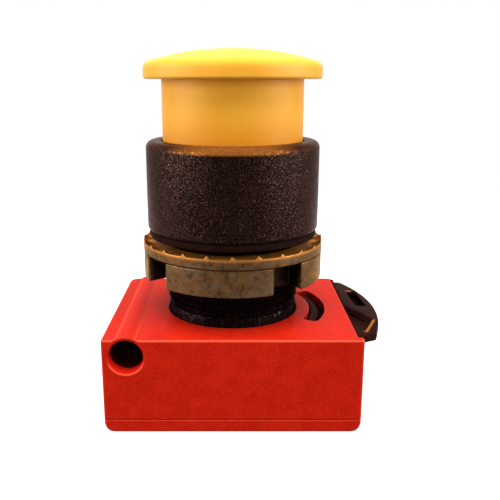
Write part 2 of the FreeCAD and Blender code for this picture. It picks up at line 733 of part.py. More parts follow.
def ring_nut():
    """The castellated nut, with four spanner notches in its lower edge."""
    body = tube(nut_radius, BARREL_RADIUS + FIT_GAP, nut_z, washer_z)
    floor = BARREL_RADIUS + NOTCH_FLOOR
    notches = []
    for index in range(NUT_NOTCHES):
        notch = block((floor, nut_radius + 1), (-NOTCH_WIDTH / 2, NOTCH_WIDTH / 2), (nut_z, washer_z))
        notch.rotate(ORIGIN, UP, NOTCH_ANGLE + index * 360 / NUT_NOTCHES)
        notches.append(notch)
    return body.cut(notches)


def head_outline():
    """Half the head's section: dome, rounded shoulder, rim with a bevelled lower edge, and neck."""
    dome_z = apex_z - DOME_RADIUS
    shoulder_r = HEAD_RADIUS - SHOULDER_RADIUS
    reach = DOME_RADIUS - SHOULDER_RADIUS
    shoulder_z = dome_z + math.sqrt(reach ** 2 - shoulder_r ** 2)
    slope = math.degrees(math.atan2(shoulder_z - dome_z, shoulder_r))

    def on_dome(degrees):
        r, z = polar(DOME_RADIUS, degrees)
        return point(r, 0, dome_z + z)

    def on_shoulder(degrees):
        r, z = polar(SHOULDER_RADIUS, degrees)
        return point(shoulder_r + r, 0, shoulder_z + z)

    corners = [
        (HEAD_RADIUS, shoulder_z),
        (HEAD_RADIUS, rim_z + RIM_BEVEL),
        (HEAD_RADIUS - RIM_BEVEL, rim_z),
        (NECK_RADIUS, rim_z),
        (NECK_RADIUS, neck_foot),
        (0, neck_foot),
        (0, apex_z),
    ]
    dome = Part.Arc(point(0, 0, apex_z), on_dome((90 + slope) / 2), on_dome(slope)).toShape()
    shoulder = Part.Arc(on_dome(slope), on_shoulder(slope / 2), on_shoulder(0)).toShape()
    return Part.Wire([dome, shoulder] + Part.makePolygon([point(r, 0, z) for r, z in corners]).Edges)


def mushroom_head():
    """The domed head and its neck, moulded in one, with a ribbed boss for the stem's screw."""
    body = Part.Face(head_outline()).revolve(ORIGIN, UP, 360)
    hollow = cylinder(neck_bore, neck_foot, head_ceiling).cut(cylinder(BOSS_RADIUS, stem_top, head_ceiling))
    half_rib = RIB_THICKNESS / 2
    rib_foot = head_ceiling - RIB_HEIGHT
    ribs = []
    for index in range(RIB_COUNT):
        rib = block((BOSS_RADIUS / 2, neck_bore), (-half_rib, half_rib), (rib_foot, head_ceiling))
        rib.rotate(ORIGIN, UP, index * 360 / RIB_COUNT)
        ribs.append(rib)
    hole_end = stem_top - STEM_CAP + HEAD_SCREW_LENGTH + RUNNING_GAP
    screw_hole = cylinder(HEAD_SCREW_RADIUS + FIT_GAP, stem_top, hole_end)
    return body.cut(hollow.cut(ribs)).cut(screw_hole)


def head_stem():
    """The stem under the head: a centring disc, two latch grooves, the spring's collar and a foot."""
    def groove(height):
        half = LATCH_GROOVE_WIDTH / 2
        return tube(STEM_RADIUS + 1, STEM_RADIUS - LATCH_GROOVE_DEPTH, height - half, height + half)

    body = cylinder(STEM_RADIUS, stem_foot, disc_z)
    collar = cylinder(barrel_bore - RUNNING_GAP, collar_z, collar_top)
    disc = cylinder(neck_bore - FIT_GAP, disc_z, stem_top)
    bore = cylinder(STEM_BORE, stem_foot, stem_top - STEM_CAP)
    screw_hole = cylinder(HEAD_SCREW_RADIUS + FIT_GAP, stem_foot, stem_top)
    body = body.fuse([collar, disc]).removeSplitter()
    return body.cut([bore, screw_hole, groove(latch_z), groove(latch_z + TRAVEL)])


def head_screw():
    """The screw that draws the head onto the stem."""
    head_z = stem_top - STEM_CAP - HEAD_SCREW_HEAD_HEIGHT
    return headed_screw(
        0, 0, head_z, HEAD_SCREW_HEAD_RADIUS, HEAD_SCREW_HEAD_HEIGHT, HEAD_SCREW_RADIUS, HEAD_SCREW_LENGTH
    )


def latch_spring():
    """The hairpin of spring wire whose legs sit in the stem's groove."""
    bend_y = LATCH_LEG / 2 - LATCH_WIRE
    rings = [wire_ring(LATCH_WIRE, point(latch_x, -LATCH_LEG / 2, latch_z), point(1, 0, 0))]
    for step in range(COIL_RUNS // 2 + 1):
        outward = point(*polar(1, 360 * step / COIL_RUNS), 0)
        rings.append(wire_ring(LATCH_WIRE, outward * latch_x + point(0, bend_y, latch_z), outward))
    rings.append(wire_ring(LATCH_WIRE, point(-latch_x, -LATCH_LEG / 2, latch_z), point(-1, 0, 0)))
    return Part.makeLoft(rings, True, True)


def latch_retainer():
    """The washer that keeps the wire latch on the barrel's flange, with a foot ring outside the wire."""
    washer = tube(bezel_bore - FIT_GAP, STEM_RADIUS + RUNNING_GAP, retainer_z, retainer_top)
    foot = tube(bezel_bore - FIT_GAP, bezel_bore - FIT_GAP - RETAINER_FOOT_WALL, barrel_top, retainer_z)
    return washer.fuse(foot).removeSplitter()


def contact_spring():
    """The spring that lifts the carrier and closes the contact."""
    return coil(contact_spring_radius, CONTACT_WIRE, CONTACT_TURNS, holder_top, carrier_flange_z)


def pieces():
    """Every named piece of the assembly."""
    strip_right, strip_left = fixed_contacts()
    return {
        "mushroom_head": mushroom_head(),
        "head_stem": head_stem(),
        "head_screw": head_screw(),
        "bezel": bezel(),
        "wiper_seal": wiper_seal(),
        "latch_spring": latch_spring(),
        "latch_retainer": latch_retainer(),
        "threaded_barrel": threaded_barrel(),
        "return_spring": coil(spring_radius, RETURN_WIRE, RETURN_TURNS, seat_top, collar_z),
        "spring_seat": spring_seat(),
        "panel_gasket": panel_gasket(),
        "lock_washer": lock_washer(),
        "ring_nut": ring_nut(),
        "base_housing": base_housing(),
        "base_cover": base_cover(),
        "cover_screws": cover_screws(),
        "locking_screw": locking_screw(),
        "latch_slide": latch_slide(),
        "contact_holder": contact_holder(),
        "fixed_contact_left": strip_left,
        "fixed_contact_right": strip_right,
        "fixed_contact_tips": contact_tips(contact_z),
        "terminal_clamps": terminal_clamps(),
        "terminal_screws": terminal_screws(),
        "contact_carrier": contact_carrier(),
        "contact_bridge": contact_bridge(),
        "bridge_tips": contact_tips(bridge_top),
        "contact_spring": contact_spring(),
    }


os.makedirs("parts", exist_ok=True)
for name, shape in pieces().items():
    shape.exportStep("parts/" + name + ".step")
    state = "valid" if shape.isValid() else "INVALID"
    print(name, len(shape.Solids), "solid(s)", round(shape.Volume, 2), "mm3", state)
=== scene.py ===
"""Looks of the mushroom-head push button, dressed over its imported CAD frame.

Lengths in the fields are millimetres, apart from the studio's, which are metres.
Meshes are built in metres in the CAD frame.
"""

import logging
import math
from dataclasses import dataclass, replace
from enum import Enum
from typing import Any, Callable, Optional, Sequence, Union

import bmesh
import bpy
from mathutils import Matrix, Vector

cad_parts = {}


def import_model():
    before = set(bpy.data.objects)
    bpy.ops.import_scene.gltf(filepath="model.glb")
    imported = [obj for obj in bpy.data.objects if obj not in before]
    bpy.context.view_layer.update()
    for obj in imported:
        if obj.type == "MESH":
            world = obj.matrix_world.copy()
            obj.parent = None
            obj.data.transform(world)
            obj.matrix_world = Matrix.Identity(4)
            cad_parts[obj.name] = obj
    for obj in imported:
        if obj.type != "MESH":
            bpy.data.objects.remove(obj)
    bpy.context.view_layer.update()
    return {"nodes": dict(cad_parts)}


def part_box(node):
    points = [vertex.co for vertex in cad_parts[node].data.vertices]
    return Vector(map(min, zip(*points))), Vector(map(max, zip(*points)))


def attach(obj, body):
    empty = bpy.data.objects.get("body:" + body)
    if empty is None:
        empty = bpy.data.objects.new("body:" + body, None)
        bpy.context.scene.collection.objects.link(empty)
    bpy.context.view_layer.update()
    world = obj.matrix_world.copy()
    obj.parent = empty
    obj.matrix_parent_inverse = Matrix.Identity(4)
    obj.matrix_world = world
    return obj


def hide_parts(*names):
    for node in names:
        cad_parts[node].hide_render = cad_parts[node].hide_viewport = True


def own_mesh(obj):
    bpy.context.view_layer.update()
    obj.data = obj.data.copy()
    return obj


log = logging.getLogger("push_button")

MM = 0.001
WELD_M = 1e-7
CAD_WELD_M = 1e-6
ON_AXIS = 1e-6
SHARP_DEG = 35.0
CORNER_STEPS = 6

Rgb = tuple[float, float, float]
Point = tuple[float, float, float]
Outline = list[tuple[float, float]]
Nodes = dict[str, bpy.types.Object]


class Body(Enum):
    """The bodies that the scene's own pieces ride on."""

    BASE = "base"
    HEAD = "head"
    SLIDE = "slide"
    WASHER = "washer"
    NUT = "nut"


class Signal:
    """A node's output, so that node maths reads as plain Python."""

    def __init__(self, graph: "Graph", socket: bpy.types.NodeSocket) -> None:
        """Keeps the socket and the graph that it belongs to."""
        self.graph = graph
        self.socket = socket

    def __add__(self, other: "Number") -> "Signal":
        """Sum."""
        return self.graph.maths("ADD", self, other)

    def __radd__(self, other: float) -> "Signal":
        """Sum, with the number first."""
        return self.graph.maths("ADD", other, self)

    def __sub__(self, other: "Number") -> "Signal":
        """Difference."""
        return self.graph.maths("SUBTRACT", self, other)

    def __rsub__(self, other: float) -> "Signal":
        """Difference, with the number first."""
        return self.graph.maths("SUBTRACT", other, self)

    def __mul__(self, other: "Number") -> "Signal":
        """Product."""
        return self.graph.maths("MULTIPLY", self, other)

    def __rmul__(self, other: float) -> "Signal":
        """Product, with the number first."""
        return self.graph.maths("MULTIPLY", other, self)

    def band(self, low: float, high: float) -> "Signal":
        """A mask that rises from 0 at low to 1 at high, with soft ends."""
        inputs = {"Value": self, "From Min": low, "From Max": high}
        return self.graph.node("ShaderNodeMapRange", {"interpolation_type": "SMOOTHSTEP"}, inputs)

    def between(self, low: float, high: float) -> "Signal":
        """Stretches a mask so that 0 becomes low and 1 becomes high."""
        return low + self * (high - low)

    def swing(self, span: float) -> "Signal":
        """Turns a signal about 0.5 into one about 0, with its range scaled to the span."""
        return (self - 0.5) * span

    def beside(self, output: Union[int, str]) -> "Signal":
        """Another output of the same node."""
        return Signal(self.graph, self.socket.node.outputs[output])


Number = Union[Signal, float]


class Graph:
    """A node tree, with one method that makes any node."""

    def __init__(self, tree: bpy.types.NodeTree) -> None:
        """Takes an empty tree."""
        self.tree = tree

    def node(
        self,
        kind: str,
        settings: Optional[dict[str, Any]] = None,
        inputs: Optional[dict[Any, Any]] = None,
        output: Union[int, str] = 0,
    ) -> Optional[Signal]:
        """Makes a node.

        Args:
            kind: The node's type name.
            settings: The node's properties, set first.
            inputs: Values or signals by socket name or number.
            output: Name or number of the output to return.

        Returns:
            The chosen output, or None from a node that has none.
        """
        made = self.tree.nodes.new(kind)
        for key, value in (settings or {}).items():
            setattr(made, key, value)
        for key, value in (inputs or {}).items():
            socket = made.inputs[key]
            if isinstance(value, Signal):
                self.tree.links.new(value.socket, socket)
            else:
                socket.default_value = value
        return Signal(self, made.outputs[output]) if made.outputs else None

    def maths(self, operation: str, first: Number, second: Number) -> Signal:
        """One Math node."""
        return self.node("ShaderNodeMath", {"operation": operation}, {0: first, 1: second})

    def shown(self) -> Signal:
        """1 where the stage is seen, straight or in gloss and glass, and 0 where it only gives light."""
        camera = self.node("ShaderNodeLightPath", output="Is Camera Ray")
        glossy, through = camera.beside("Is Glossy Ray"), camera.beside("Is Transmission Ray")
        return self.maths("MAXIMUM", camera, self.maths("MAXIMUM", glossy, through))


class Paint(Graph):
    """A material's graph, with the patterns that the finishes share."""

    BEVEL_SAMPLES = 6
    RECESS_SAMPLES = 8
    EDGE_AGREEMENT = (0.75, 0.98)
    OPEN_SHARE = (0.4, 0.95)
    CREST_START = (0.15, 0.45)
    CREST_END = (0.8, 0.97)

    def __init__(self, name: str) -> None:
        """Starts an empty material of that name."""
        self.material = bpy.data.materials.new(name)
        self.material.use_nodes = True
        self.material.node_tree.nodes.clear()
        super().__init__(self.material.node_tree)
        self.place = self.node("ShaderNodeTexCoord", output="Object")

    def noise(
        self, size_mm: float, detail: float = 3.0, roughness: float = 0.55, stretch: Optional[Point] = None
    ) -> Signal:
        """Cloudy noise about 0.5.

        Args:
            size_mm: Size of a cloud.
            detail: Octaves.
            roughness: Weight of the small octaves.
            stretch: Scale along each axis, for streaks.

        Returns:
            The noise value.
        """
        place = self.place
        if stretch is not None:
            place = self.node("ShaderNodeMapping", inputs={"Vector": place, "Scale": stretch})
        sizes = {"Vector": place, "Scale": 1.0 / (size_mm * MM), "Detail": detail, "Roughness": roughness}
        return self.node("ShaderNodeTexNoise", inputs=sizes)

    def axes_mm(self) -> list[Signal]:
        """The place along X, Y and Z in millimetres."""
        split = self.node("ShaderNodeSeparateXYZ", inputs={"Vector": self.place})
        return [split.beside(axis) * (1 / MM) for axis in "XYZ"]

    def cells(self, size_mm: float) -> Signal:
        """Distance to the nearest of scattered points, 0 at each point."""
        sizes = {"Vector": self.place, "Scale": 1.0 / (size_mm * MM)}
        return self.node("ShaderNodeTexVoronoi", inputs=sizes, output="Distance")

    def blend(self, factor: Number, first: Union[Signal, Rgb], second: Union[Signal, Rgb]) -> Signal:
        """Mixes two colours: a factor of 0 gives the first, 1 the second."""
        one, two = (c if isinstance(c, Signal) else (*c, 1.0) for c in (first, second))
        return self.node("ShaderNodeMix", {"data_type": "RGBA"}, {0: factor, 6: one, 7: two}, output=2)

    def softened(self, radius_mm: float) -> Signal:
        """The normal as it would be if sharp edges were rounded."""
        return self.node("ShaderNodeBevel", {"samples": self.BEVEL_SAMPLES}, {"Radius": radius_mm * MM})

    def relief(self, height: Signal, depth_mm: float, edge_mm: float = 0.0) -> Signal:
        """The normal of a bump of that depth, over edges that look rounded if a radius is given."""
        inputs: dict[str, Any] = {"Height": height, "Distance": depth_mm * MM, "Strength": 1.0}
        if edge_mm:
            inputs["Normal"] = self.softened(edge_mm)
        return self.node("ShaderNodeBump", inputs=inputs)

    def edges(self, radius_mm: float) -> Signal:
        """Marks sharp edges as far as the radius, 0 on open faces and 1 at an edge."""
        pair = {0: self.softened(radius_mm), 1: self.node("ShaderNodeNewGeometry", output="Normal")}
        agree = self.node("ShaderNodeVectorMath", {"operation": "DOT_PRODUCT"}, pair, output="Value")
        return 1 - agree.band(*self.EDGE_AGREEMENT)

    def recesses(self, reach_mm: float) -> Signal:
        """Marks hollows with walls within reach, where shade is painted in, 0 on open faces and 1 deep
        inside.
        """
        settings = {"samples": self.RECESS_SAMPLES, "only_local": True}
        reach = {"Distance": reach_mm * MM}
        open_share = self.node("ShaderNodeAmbientOcclusion", settings, reach, output="AO")
        return 1 - open_share.band(*self.OPEN_SHARE)

    def level(self) -> Signal:
        """How far the face looks up: 1 on level faces, 0 on upright walls, -1 underneath."""
        normal = self.node("ShaderNodeNewGeometry", output="Normal")
        return self.node("ShaderNodeSeparateXYZ", inputs={"Vector": normal}, output="Z")

    def crests(self) -> Signal:
        """Marks rounded upper edges, where the face turns from level to upright."""
        up = self.level()
        return up.band(*self.CREST_START) * (1 - up.band(*self.CREST_END))

    def surface(self, **sockets: Any) -> Signal:
        """A surface shader from its sockets' values or signals, with spaces written as underscores."""
        inputs = {key.replace("_", " "): value for key, value in sockets.items()}
        return self.node("ShaderNodeBsdfPrincipled", inputs=inputs)

    def close(self, shader: Signal) -> bpy.types.Material:
        """Ends the graph in the shader and gives the material."""
        self.node("ShaderNodeOutputMaterial", inputs={"Surface": shader})
        return self.material


@dataclass(frozen=True)
class Patches:
    """A cloudy mask: noise cut between two of its values."""

    size: float
    low: float
    high: float
    detail: float = 3.0
    roughness: float = 0.55

    def draw(self, paint: Paint, unit_mm: float = 1.0) -> Signal:
        """Draws the mask, 0 to 1, with its size counted in the unit."""
        return paint.noise(self.size * unit_mm, self.detail, self.roughness).band(self.low, self.high)


BLOTCHES = Patches(size=1.0, low=0.3, high=0.72, detail=4.0)
DUSTY = Patches(size=0.6, low=0.52, high=0.75)
RUBBED = Patches(size=0.25, low=0.58, high=0.85, detail=5.0, roughness=0.7)
GRIT = Patches(size=0.75, low=0.58, high=0.7, detail=0.0)
SPARSE_GRIT = replace(GRIT, low=0.69, high=0.81)
GLINT_PATCHES = Patches(size=0.3, low=0.25, high=0.6, detail=4.0, roughness=0.7)
MOTTLE = Patches(size=1.0, low=0.28, high=0.62, detail=8.0, roughness=0.78)
PITS = Patches(size=0.3, low=0.54, high=0.66, detail=5.0, roughness=0.75)
PATINA = Patches(size=1.6, low=0.42, high=0.62, detail=4.0, roughness=0.6)
TARNISH = Patches(size=1.6, low=0.4, high=0.75)
BLOOM = Patches(size=1.2, low=0.45, high=0.8, detail=4.0, roughness=0.7)

# Colour of the painted shade in hollows and notches.
PAINTED_SHADE: Rgb = (0.004, 0.002, 0.0012)


@dataclass(frozen=True)
class Bore:
    """A hole along Y whose wall has a painted highlight near the mouth and painted shade further in."""

    WALL_REACH = 1.04
    END_FADE = 0.3
    MOUTH_FADE = 0.1
    SHADE_START = 0.7
    SHADE_SHARE = 0.96

    x: float
    z: float
    radius: float
    mouth_y: float
    unshaded_depth: float
    end_y: float
    inner_shade: Rgb
    mouth_highlight: Rgb

    def tint(self, paint: Paint, body: Signal) -> Signal:
        """Paints the hole's wall: a highlight near the mouth and shade further in.

        Args:
            paint: The graph to draw in.
            body: The colour outside the hole.

        Returns:
            The colour with the hole's wall in it.
        """
        x, y, z = paint.axes_mm()
        aside, above = x - self.x, z - self.z
        reach = self.radius * self.WALL_REACH
        inside = 1 - (aside * aside + above * above).band(self.radius**2, reach**2)
        inside = inside * (1 - y.band(self.end_y, self.end_y + self.END_FADE))
        behind = y.band(self.mouth_y + self.unshaded_depth * self.SHADE_START, self.mouth_y + self.unshaded_depth)
        past_mouth = y.band(self.mouth_y - self.MOUTH_FADE, self.mouth_y + self.MOUTH_FADE)
        body = paint.blend(inside * past_mouth, body, self.mouth_highlight)
        return paint.blend(inside * behind * self.SHADE_SHARE, body, self.inner_shade)


@dataclass(frozen=True)
class PaintedLightBand:
    """Painted light or shade: another colour that takes over between two heights."""

    plain_z: float
    full_z: float
    colour: Rgb
    share: float

    def tint(self, paint: Paint, body: Signal) -> Signal:
        """Leads the body colour over to the band's colour towards the full height."""
        height = paint.axes_mm()[2]
        return paint.blend((1 - height.band(self.full_z, self.plain_z)) * self.share, body, self.colour)


@dataclass(frozen=True)
class PaintedGlint:
    """A painted highlight along a stretch of an edge, even over a share of its length."""

    RISE = 0.4
    LEAST_GLINT = 0.55

    x: float
    y: float
    turn_deg: float
    length: float
    even: float
    width: float
    low_z: float
    colour: Rgb

    def tint(self, paint: Paint, body: Signal) -> Signal:
        """Paints a highlight along the edge.

        Args:
            paint: The graph to draw in.
            body: The colour beside the edge.

        Returns:
            The colour with the painted highlight in it.
        """
        x, y, z = paint.axes_mm()
        x, y = x - self.x, y - self.y
        cosine, sine = math.cos(math.radians(self.turn_deg)), math.sin(math.radians(self.turn_deg))
        along, aside = x * cosine + y * sine, y * cosine - x * sine
        mask = 1 - (along * along).band((self.length * self.even / 2) ** 2, (self.length / 2) ** 2)
        mask = mask * (1 - (aside * aside).band(0.0, self.width**2))
        mask = mask * z.band(self.low_z, self.low_z + self.RISE)
        return paint.blend(mask * GLINT_PATCHES.draw(paint).between(self.LEAST_GLINT, 1.0), body, self.colour)


@dataclass(frozen=True)
class RingTint:
    """Painted light or shade on a ring's inner walls or level faces, which fades out towards its rim."""

    full_radius: float
    plain_radius: float
    share: float
    colour: Rgb
    walls: bool

    def tint(self, paint: Paint, body: Signal) -> Signal:
        """Tints the walls or the level faces inside the ring."""
        x, y, _ = paint.axes_mm()
        inside = 1 - (x * x + y * y).band(self.full_radius**2, self.plain_radius**2)
        up = paint.level()
        facing = 1 - up * up if self.walls else up * up
        return paint.blend(inside * facing * self.share, body, self.colour)


Mark = Union[Bore, PaintedLightBand, PaintedGlint, RingTint]


@dataclass(frozen=True)
class MouldedPlastic:
    """A moulded thermoplastic: soft blotches, a fine grain, dust and rubbed spots, and where set, painted
    highlights on edges and painted shade in hollows.
    """

    GRAIN_DETAIL = 2.0
    GRAIN_SHARE = 0.8
    SPECK_SPACING = 4.0
    SPECK_LIMITS = (0.04, 0.2)
    LEAST_GRIT = 0.4
    LEAST_WORN = 0.55
    SHADE_SHARE = 0.85
    GRAIN_ROUGHNESS = 0.16
    BLOTCH_ROUGHNESS = 0.08
    DUST_ROUGHNESS = 0.2

    name: str
    colour: Rgb
    deep: Rgb
    rubbed_and_highlight: Rgb
    roughness: float
    grain_mm: float
    grain_depth_mm: float
    blotch_mm: float
    dust: float
    gloss: float = 0.5
    sheen: Rgb = (1.0, 1.0, 1.0)
    scuff: float = 0.35
    edge_mm: float = 0.0
    edge_wear_and_highlight_mm: float = 0.0
    shade_reach_mm: float = 0.0
    crest_highlight: float = 0.0
    glints: float = 0.0
    grit: Patches = GRIT
    metal_grit: bool = False
    marks: tuple[Mark, ...] = ()

    def material(self) -> bpy.types.Material:
        """Builds the material."""
        paint = Paint(self.name)
        blotch = BLOTCHES.draw(paint, self.blotch_mm)
        grain = paint.noise(self.grain_mm, self.GRAIN_DETAIL)
        specks = 1 - paint.cells(self.grain_mm * self.SPECK_SPACING).band(*self.SPECK_LIMITS)
        dust = specks * DUSTY.draw(paint, self.blotch_mm) * self.dust
        rub = RUBBED.draw(paint, self.blotch_mm)
        body = paint.blend(blotch, self.deep, self.colour)
        if self.scuff:
            body = paint.blend(rub * self.scuff, body, self.rubbed_and_highlight)
        body = paint.blend(dust, body, self.rubbed_and_highlight)
        metal: Number = 0.0
        if self.glints:
            grit = self.grit.draw(paint, self.grain_mm)
            body = paint.blend(grit * rub.between(self.LEAST_GRIT, 1.0) * self.glints, body, self.rubbed_and_highlight)
            metal = grit if self.metal_grit else 0.0
        # Painted highlight on rounded upper edges, where the face turns from level to upright.
        if self.crest_highlight:
            body = paint.blend(paint.crests() * self.crest_highlight, body, self.rubbed_and_highlight)
        # Lighter sharp edges: partly wear, partly painted highlight.
        if self.edge_wear_and_highlight_mm:
            worn = paint.edges(self.edge_wear_and_highlight_mm) * rub.between(self.LEAST_WORN, 1.0)
            body = paint.blend(worn, body, self.rubbed_and_highlight)
        # Painted shade: hollows are darkened by how closed in they are.
        if self.shade_reach_mm:
            body = paint.blend(paint.recesses(self.shade_reach_mm) * self.SHADE_SHARE, body, PAINTED_SHADE)
        for mark in self.marks:
            body = mark.tint(paint, body)
        rough = self.roughness + grain.swing(self.GRAIN_ROUGHNESS) + blotch.swing(self.BLOTCH_ROUGHNESS)
        height = grain * self.GRAIN_SHARE + blotch * (1 - self.GRAIN_SHARE)
        return paint.close(
            paint.surface(
                Base_Color=body,
                Roughness=rough + dust * self.DUST_ROUGHNESS,
                Metallic=metal,
                Normal=paint.relief(height, self.grain_depth_mm, self.edge_mm),
                Specular_IOR_Level=self.gloss,
                Specular_Tint=(*self.sheen, 1.0),
            )
        )


@dataclass(frozen=True)
class CastMetal:
    """Dull die-cast metal: mottled stains, dark pits and a worn sheen."""

    FINE_SIZE = 0.12
    FINE_SHARE = 0.7
    PIT_SHARE = 0.5
    WEAR_REACH = 1.5
    WEAR_RANGE = (0.2, 0.7)
    METAL_RANGE = (0.55, 0.95)
    STAIN_ROUGHNESS = 0.18
    FINE_ROUGHNESS = 0.2
    WEAR_SMOOTHING = 0.08

    name: str
    bright: Rgb
    stain: Rgb
    worn: Rgb
    patina: Rgb
    roughness: float
    mottle_mm: float
    pit_depth_mm: float
    edge_mm: float
    gloss: float = 0.1
    sheen: Rgb = (1.0, 0.72, 0.5)
    marks: tuple[Mark, ...] = ()

    def material(self) -> bpy.types.Material:
        """Builds the material."""
        paint = Paint(self.name)
        mottle = MOTTLE.draw(paint, self.mottle_mm)
        fine = paint.noise(self.mottle_mm * self.FINE_SIZE)
        pits = PITS.draw(paint, self.mottle_mm)
        body = paint.blend(PATINA.draw(paint, self.mottle_mm), self.bright, self.patina)
        body = paint.blend(mottle, self.stain, body)
        body = paint.blend(pits * self.PIT_SHARE, body, self.stain)
        for mark in self.marks:
            body = mark.tint(paint, body)
        wear = paint.edges(self.edge_mm * self.WEAR_REACH) * mottle.between(*self.WEAR_RANGE)
        body = paint.blend(wear, body, self.worn)
        rough = self.roughness + (1 - mottle) * self.STAIN_ROUGHNESS + fine.swing(self.FINE_ROUGHNESS)
        height = fine * self.FINE_SHARE + mottle * (1 - self.FINE_SHARE)
        return paint.close(
            paint.surface(
                Base_Color=body,
                Roughness=rough - wear * self.WEAR_SMOOTHING,
                Metallic=mottle.between(*self.METAL_RANGE),
                Normal=paint.relief(height, self.pit_depth_mm, self.edge_mm),
                Specular_IOR_Level=self.gloss,
                Specular_Tint=(*self.sheen, 1.0),
            )
        )


@dataclass(frozen=True)
class PlainMetal:
    """Turned, rolled or drawn metal with fine lines and faint tarnish."""

    LINE_DETAIL = 2.0
    LINE_WEIGHT = 0.5
    LINE_STRETCH = (1.0, 1.0, 12.0)
    LINE_DEPTH_MM = 0.01
    LINE_ROUGHNESS = 0.2
    TARNISH_SHARE = 0.6
    TARNISH_ROUGHNESS = 0.1

    name: str
    colour: Rgb
    tarnish: Rgb
    roughness: float
    line_mm: float

    def material(self) -> bpy.types.Material:
        """Builds the material."""
        paint = Paint(self.name)
        lines = paint.noise(self.line_mm, self.LINE_DETAIL, self.LINE_WEIGHT, self.LINE_STRETCH)
        cloud = TARNISH.draw(paint)
        body = paint.blend(cloud * self.TARNISH_SHARE, self.colour, self.tarnish)
        rough = self.roughness + lines.swing(self.LINE_ROUGHNESS) + cloud * self.TARNISH_ROUGHNESS
        normal = paint.relief(lines, self.LINE_DEPTH_MM)
        return paint.close(paint.surface(Base_Color=body, Roughness=rough, Metallic=1.0, Normal=normal))


@dataclass(frozen=True)
class Rubber:
    """Soft black rubber with bloom."""

    BLOOM_SHARE = 0.5
    GRAIN_DETAIL = 2.0
    GRAIN_ROUGHNESS = 0.2

    name: str
    colour: Rgb
    bloom: Rgb
    roughness: float = 0.7
    grain_mm: float = 0.12
    grain_depth_mm: float = 0.02
    gloss: float = 0.01
    sheen: Rgb = (1.0, 0.6, 0.5)

    def material(self) -> bpy.types.Material:
        """Builds the material."""
        paint = Paint(self.name)
        bloom = BLOOM.draw(paint)
        grain = paint.noise(self.grain_mm, self.GRAIN_DETAIL)
        return paint.close(
            paint.surface(
                Base_Color=paint.blend(bloom * self.BLOOM_SHARE, self.colour, self.bloom),
                Roughness=self.roughness + grain.swing(self.GRAIN_ROUGHNESS),
                Normal=paint.relief(grain, self.grain_depth_mm),
                Specular_IOR_Level=self.gloss,
                Specular_Tint=(*self.sheen, 1.0),
            )
        )


Finish = Union[MouldedPlastic, CastMetal, PlainMetal, Rubber]

YELLOW = MouldedPlastic(
    name="yellow_moulding", colour=(0.84, 0.385, 0.036), deep=(0.8, 0.355, 0.029), rubbed_and_highlight=(0.9, 0.56, 0.2),
    roughness=0.42, grain_mm=0.16, grain_depth_mm=0.012, blotch_mm=5.0, dust=0.25, gloss=0.062, scuff=0.4,
    # Painted shade: the neck turns deeper orange towards the bezel.
    marks=(PaintedLightBand(plain_z=50.0, full_z=43.5, colour=(0.56, 0.175, 0.004), share=0.75),),
)
# Painted highlight on the tunnel's wall near its mouth, and painted shade deeper inside.
SCREW_TUNNEL = Bore(
    x=-16.6, z=12.65, radius=2.78, mouth_y=-16.1, unshaded_depth=2.6, end_y=0.2,
    inner_shade=(0.008, 0.0016, 0.0008), mouth_highlight=(0.66, 0.014, 0.005),
)
RED = MouldedPlastic(
    name="red_moulding", colour=(0.505, 0.0125, 0.0034), deep=(0.42, 0.009, 0.0026),
    rubbed_and_highlight=(0.7, 0.085, 0.04), roughness=0.42, grain_mm=0.26, grain_depth_mm=0.035, blotch_mm=2.6,
    # Painted highlight on the rounded top edges and along sharp edges, which are partly worn; painted shade
    # in hollows.
    dust=0.45, gloss=0.02, scuff=0.36, edge_mm=0.2, edge_wear_and_highlight_mm=0.42, shade_reach_mm=4.0, crest_highlight=0.8, glints=0.45,
    marks=(SCREW_TUNNEL,),
)
# Painted reflection of the yellow neck on the front of the bezel's rim.
RIM_FRONT = PaintedGlint(
    x=0.0, y=-13.8, turn_deg=0.0, length=21.0, even=0.0, width=6.5, low_z=43.3, colour=(0.24, 0.078, 0.013)
)
BLACK = MouldedPlastic(
    name="black_texture", colour=(0.008, 0.003, 0.0022), deep=(0.005, 0.0018, 0.0012),
    rubbed_and_highlight=(0.13, 0.075, 0.06), roughness=0.3, grain_mm=0.2, grain_depth_mm=0.11, blotch_mm=3.0, dust=0.5,
    gloss=0.012, sheen=(1.0, 0.5, 0.42), scuff=0.03, glints=0.5, metal_grit=True,
    # Painted reflection: a warm band over the rim's rounded top.
    marks=(PaintedLightBand(plain_z=43.2, full_z=44.3, colour=(0.03, 0.009, 0.002), share=0.75), RIM_FRONT),
)
# Painted highlights on the slide: the outer slope of the thumb hollow and the far end of its slot.
HOLLOW_EDGE = PaintedGlint(
    x=22.6, y=-8.4, turn_deg=-116.0, length=5.8, even=0.6, width=0.5, low_z=13.0, colour=(0.32, 0.12, 0.022)
)
SLOT_END = PaintedGlint(
    x=22.0, y=8.85, turn_deg=0.0, length=1.4, even=0.3, width=0.45, low_z=13.6, colour=(0.3, 0.07, 0.02)
)
BLACK_SMOOTH = MouldedPlastic(
    name="black_moulding", colour=(0.022, 0.0065, 0.005), deep=(0.013, 0.0036, 0.0028),
    rubbed_and_highlight=(0.18, 0.065, 0.016), roughness=0.38, grain_mm=0.18, grain_depth_mm=0.012, blotch_mm=3.0,
    # Painted shade in hollows; sharp edges are partly worn and partly painted highlight.
    dust=0.25, gloss=0.004, sheen=(1.0, 0.36, 0.3), scuff=0.1, edge_mm=0.1, edge_wear_and_highlight_mm=0.15, shade_reach_mm=2.0,
    marks=(HOLLOW_EDGE, SLOT_END),
)
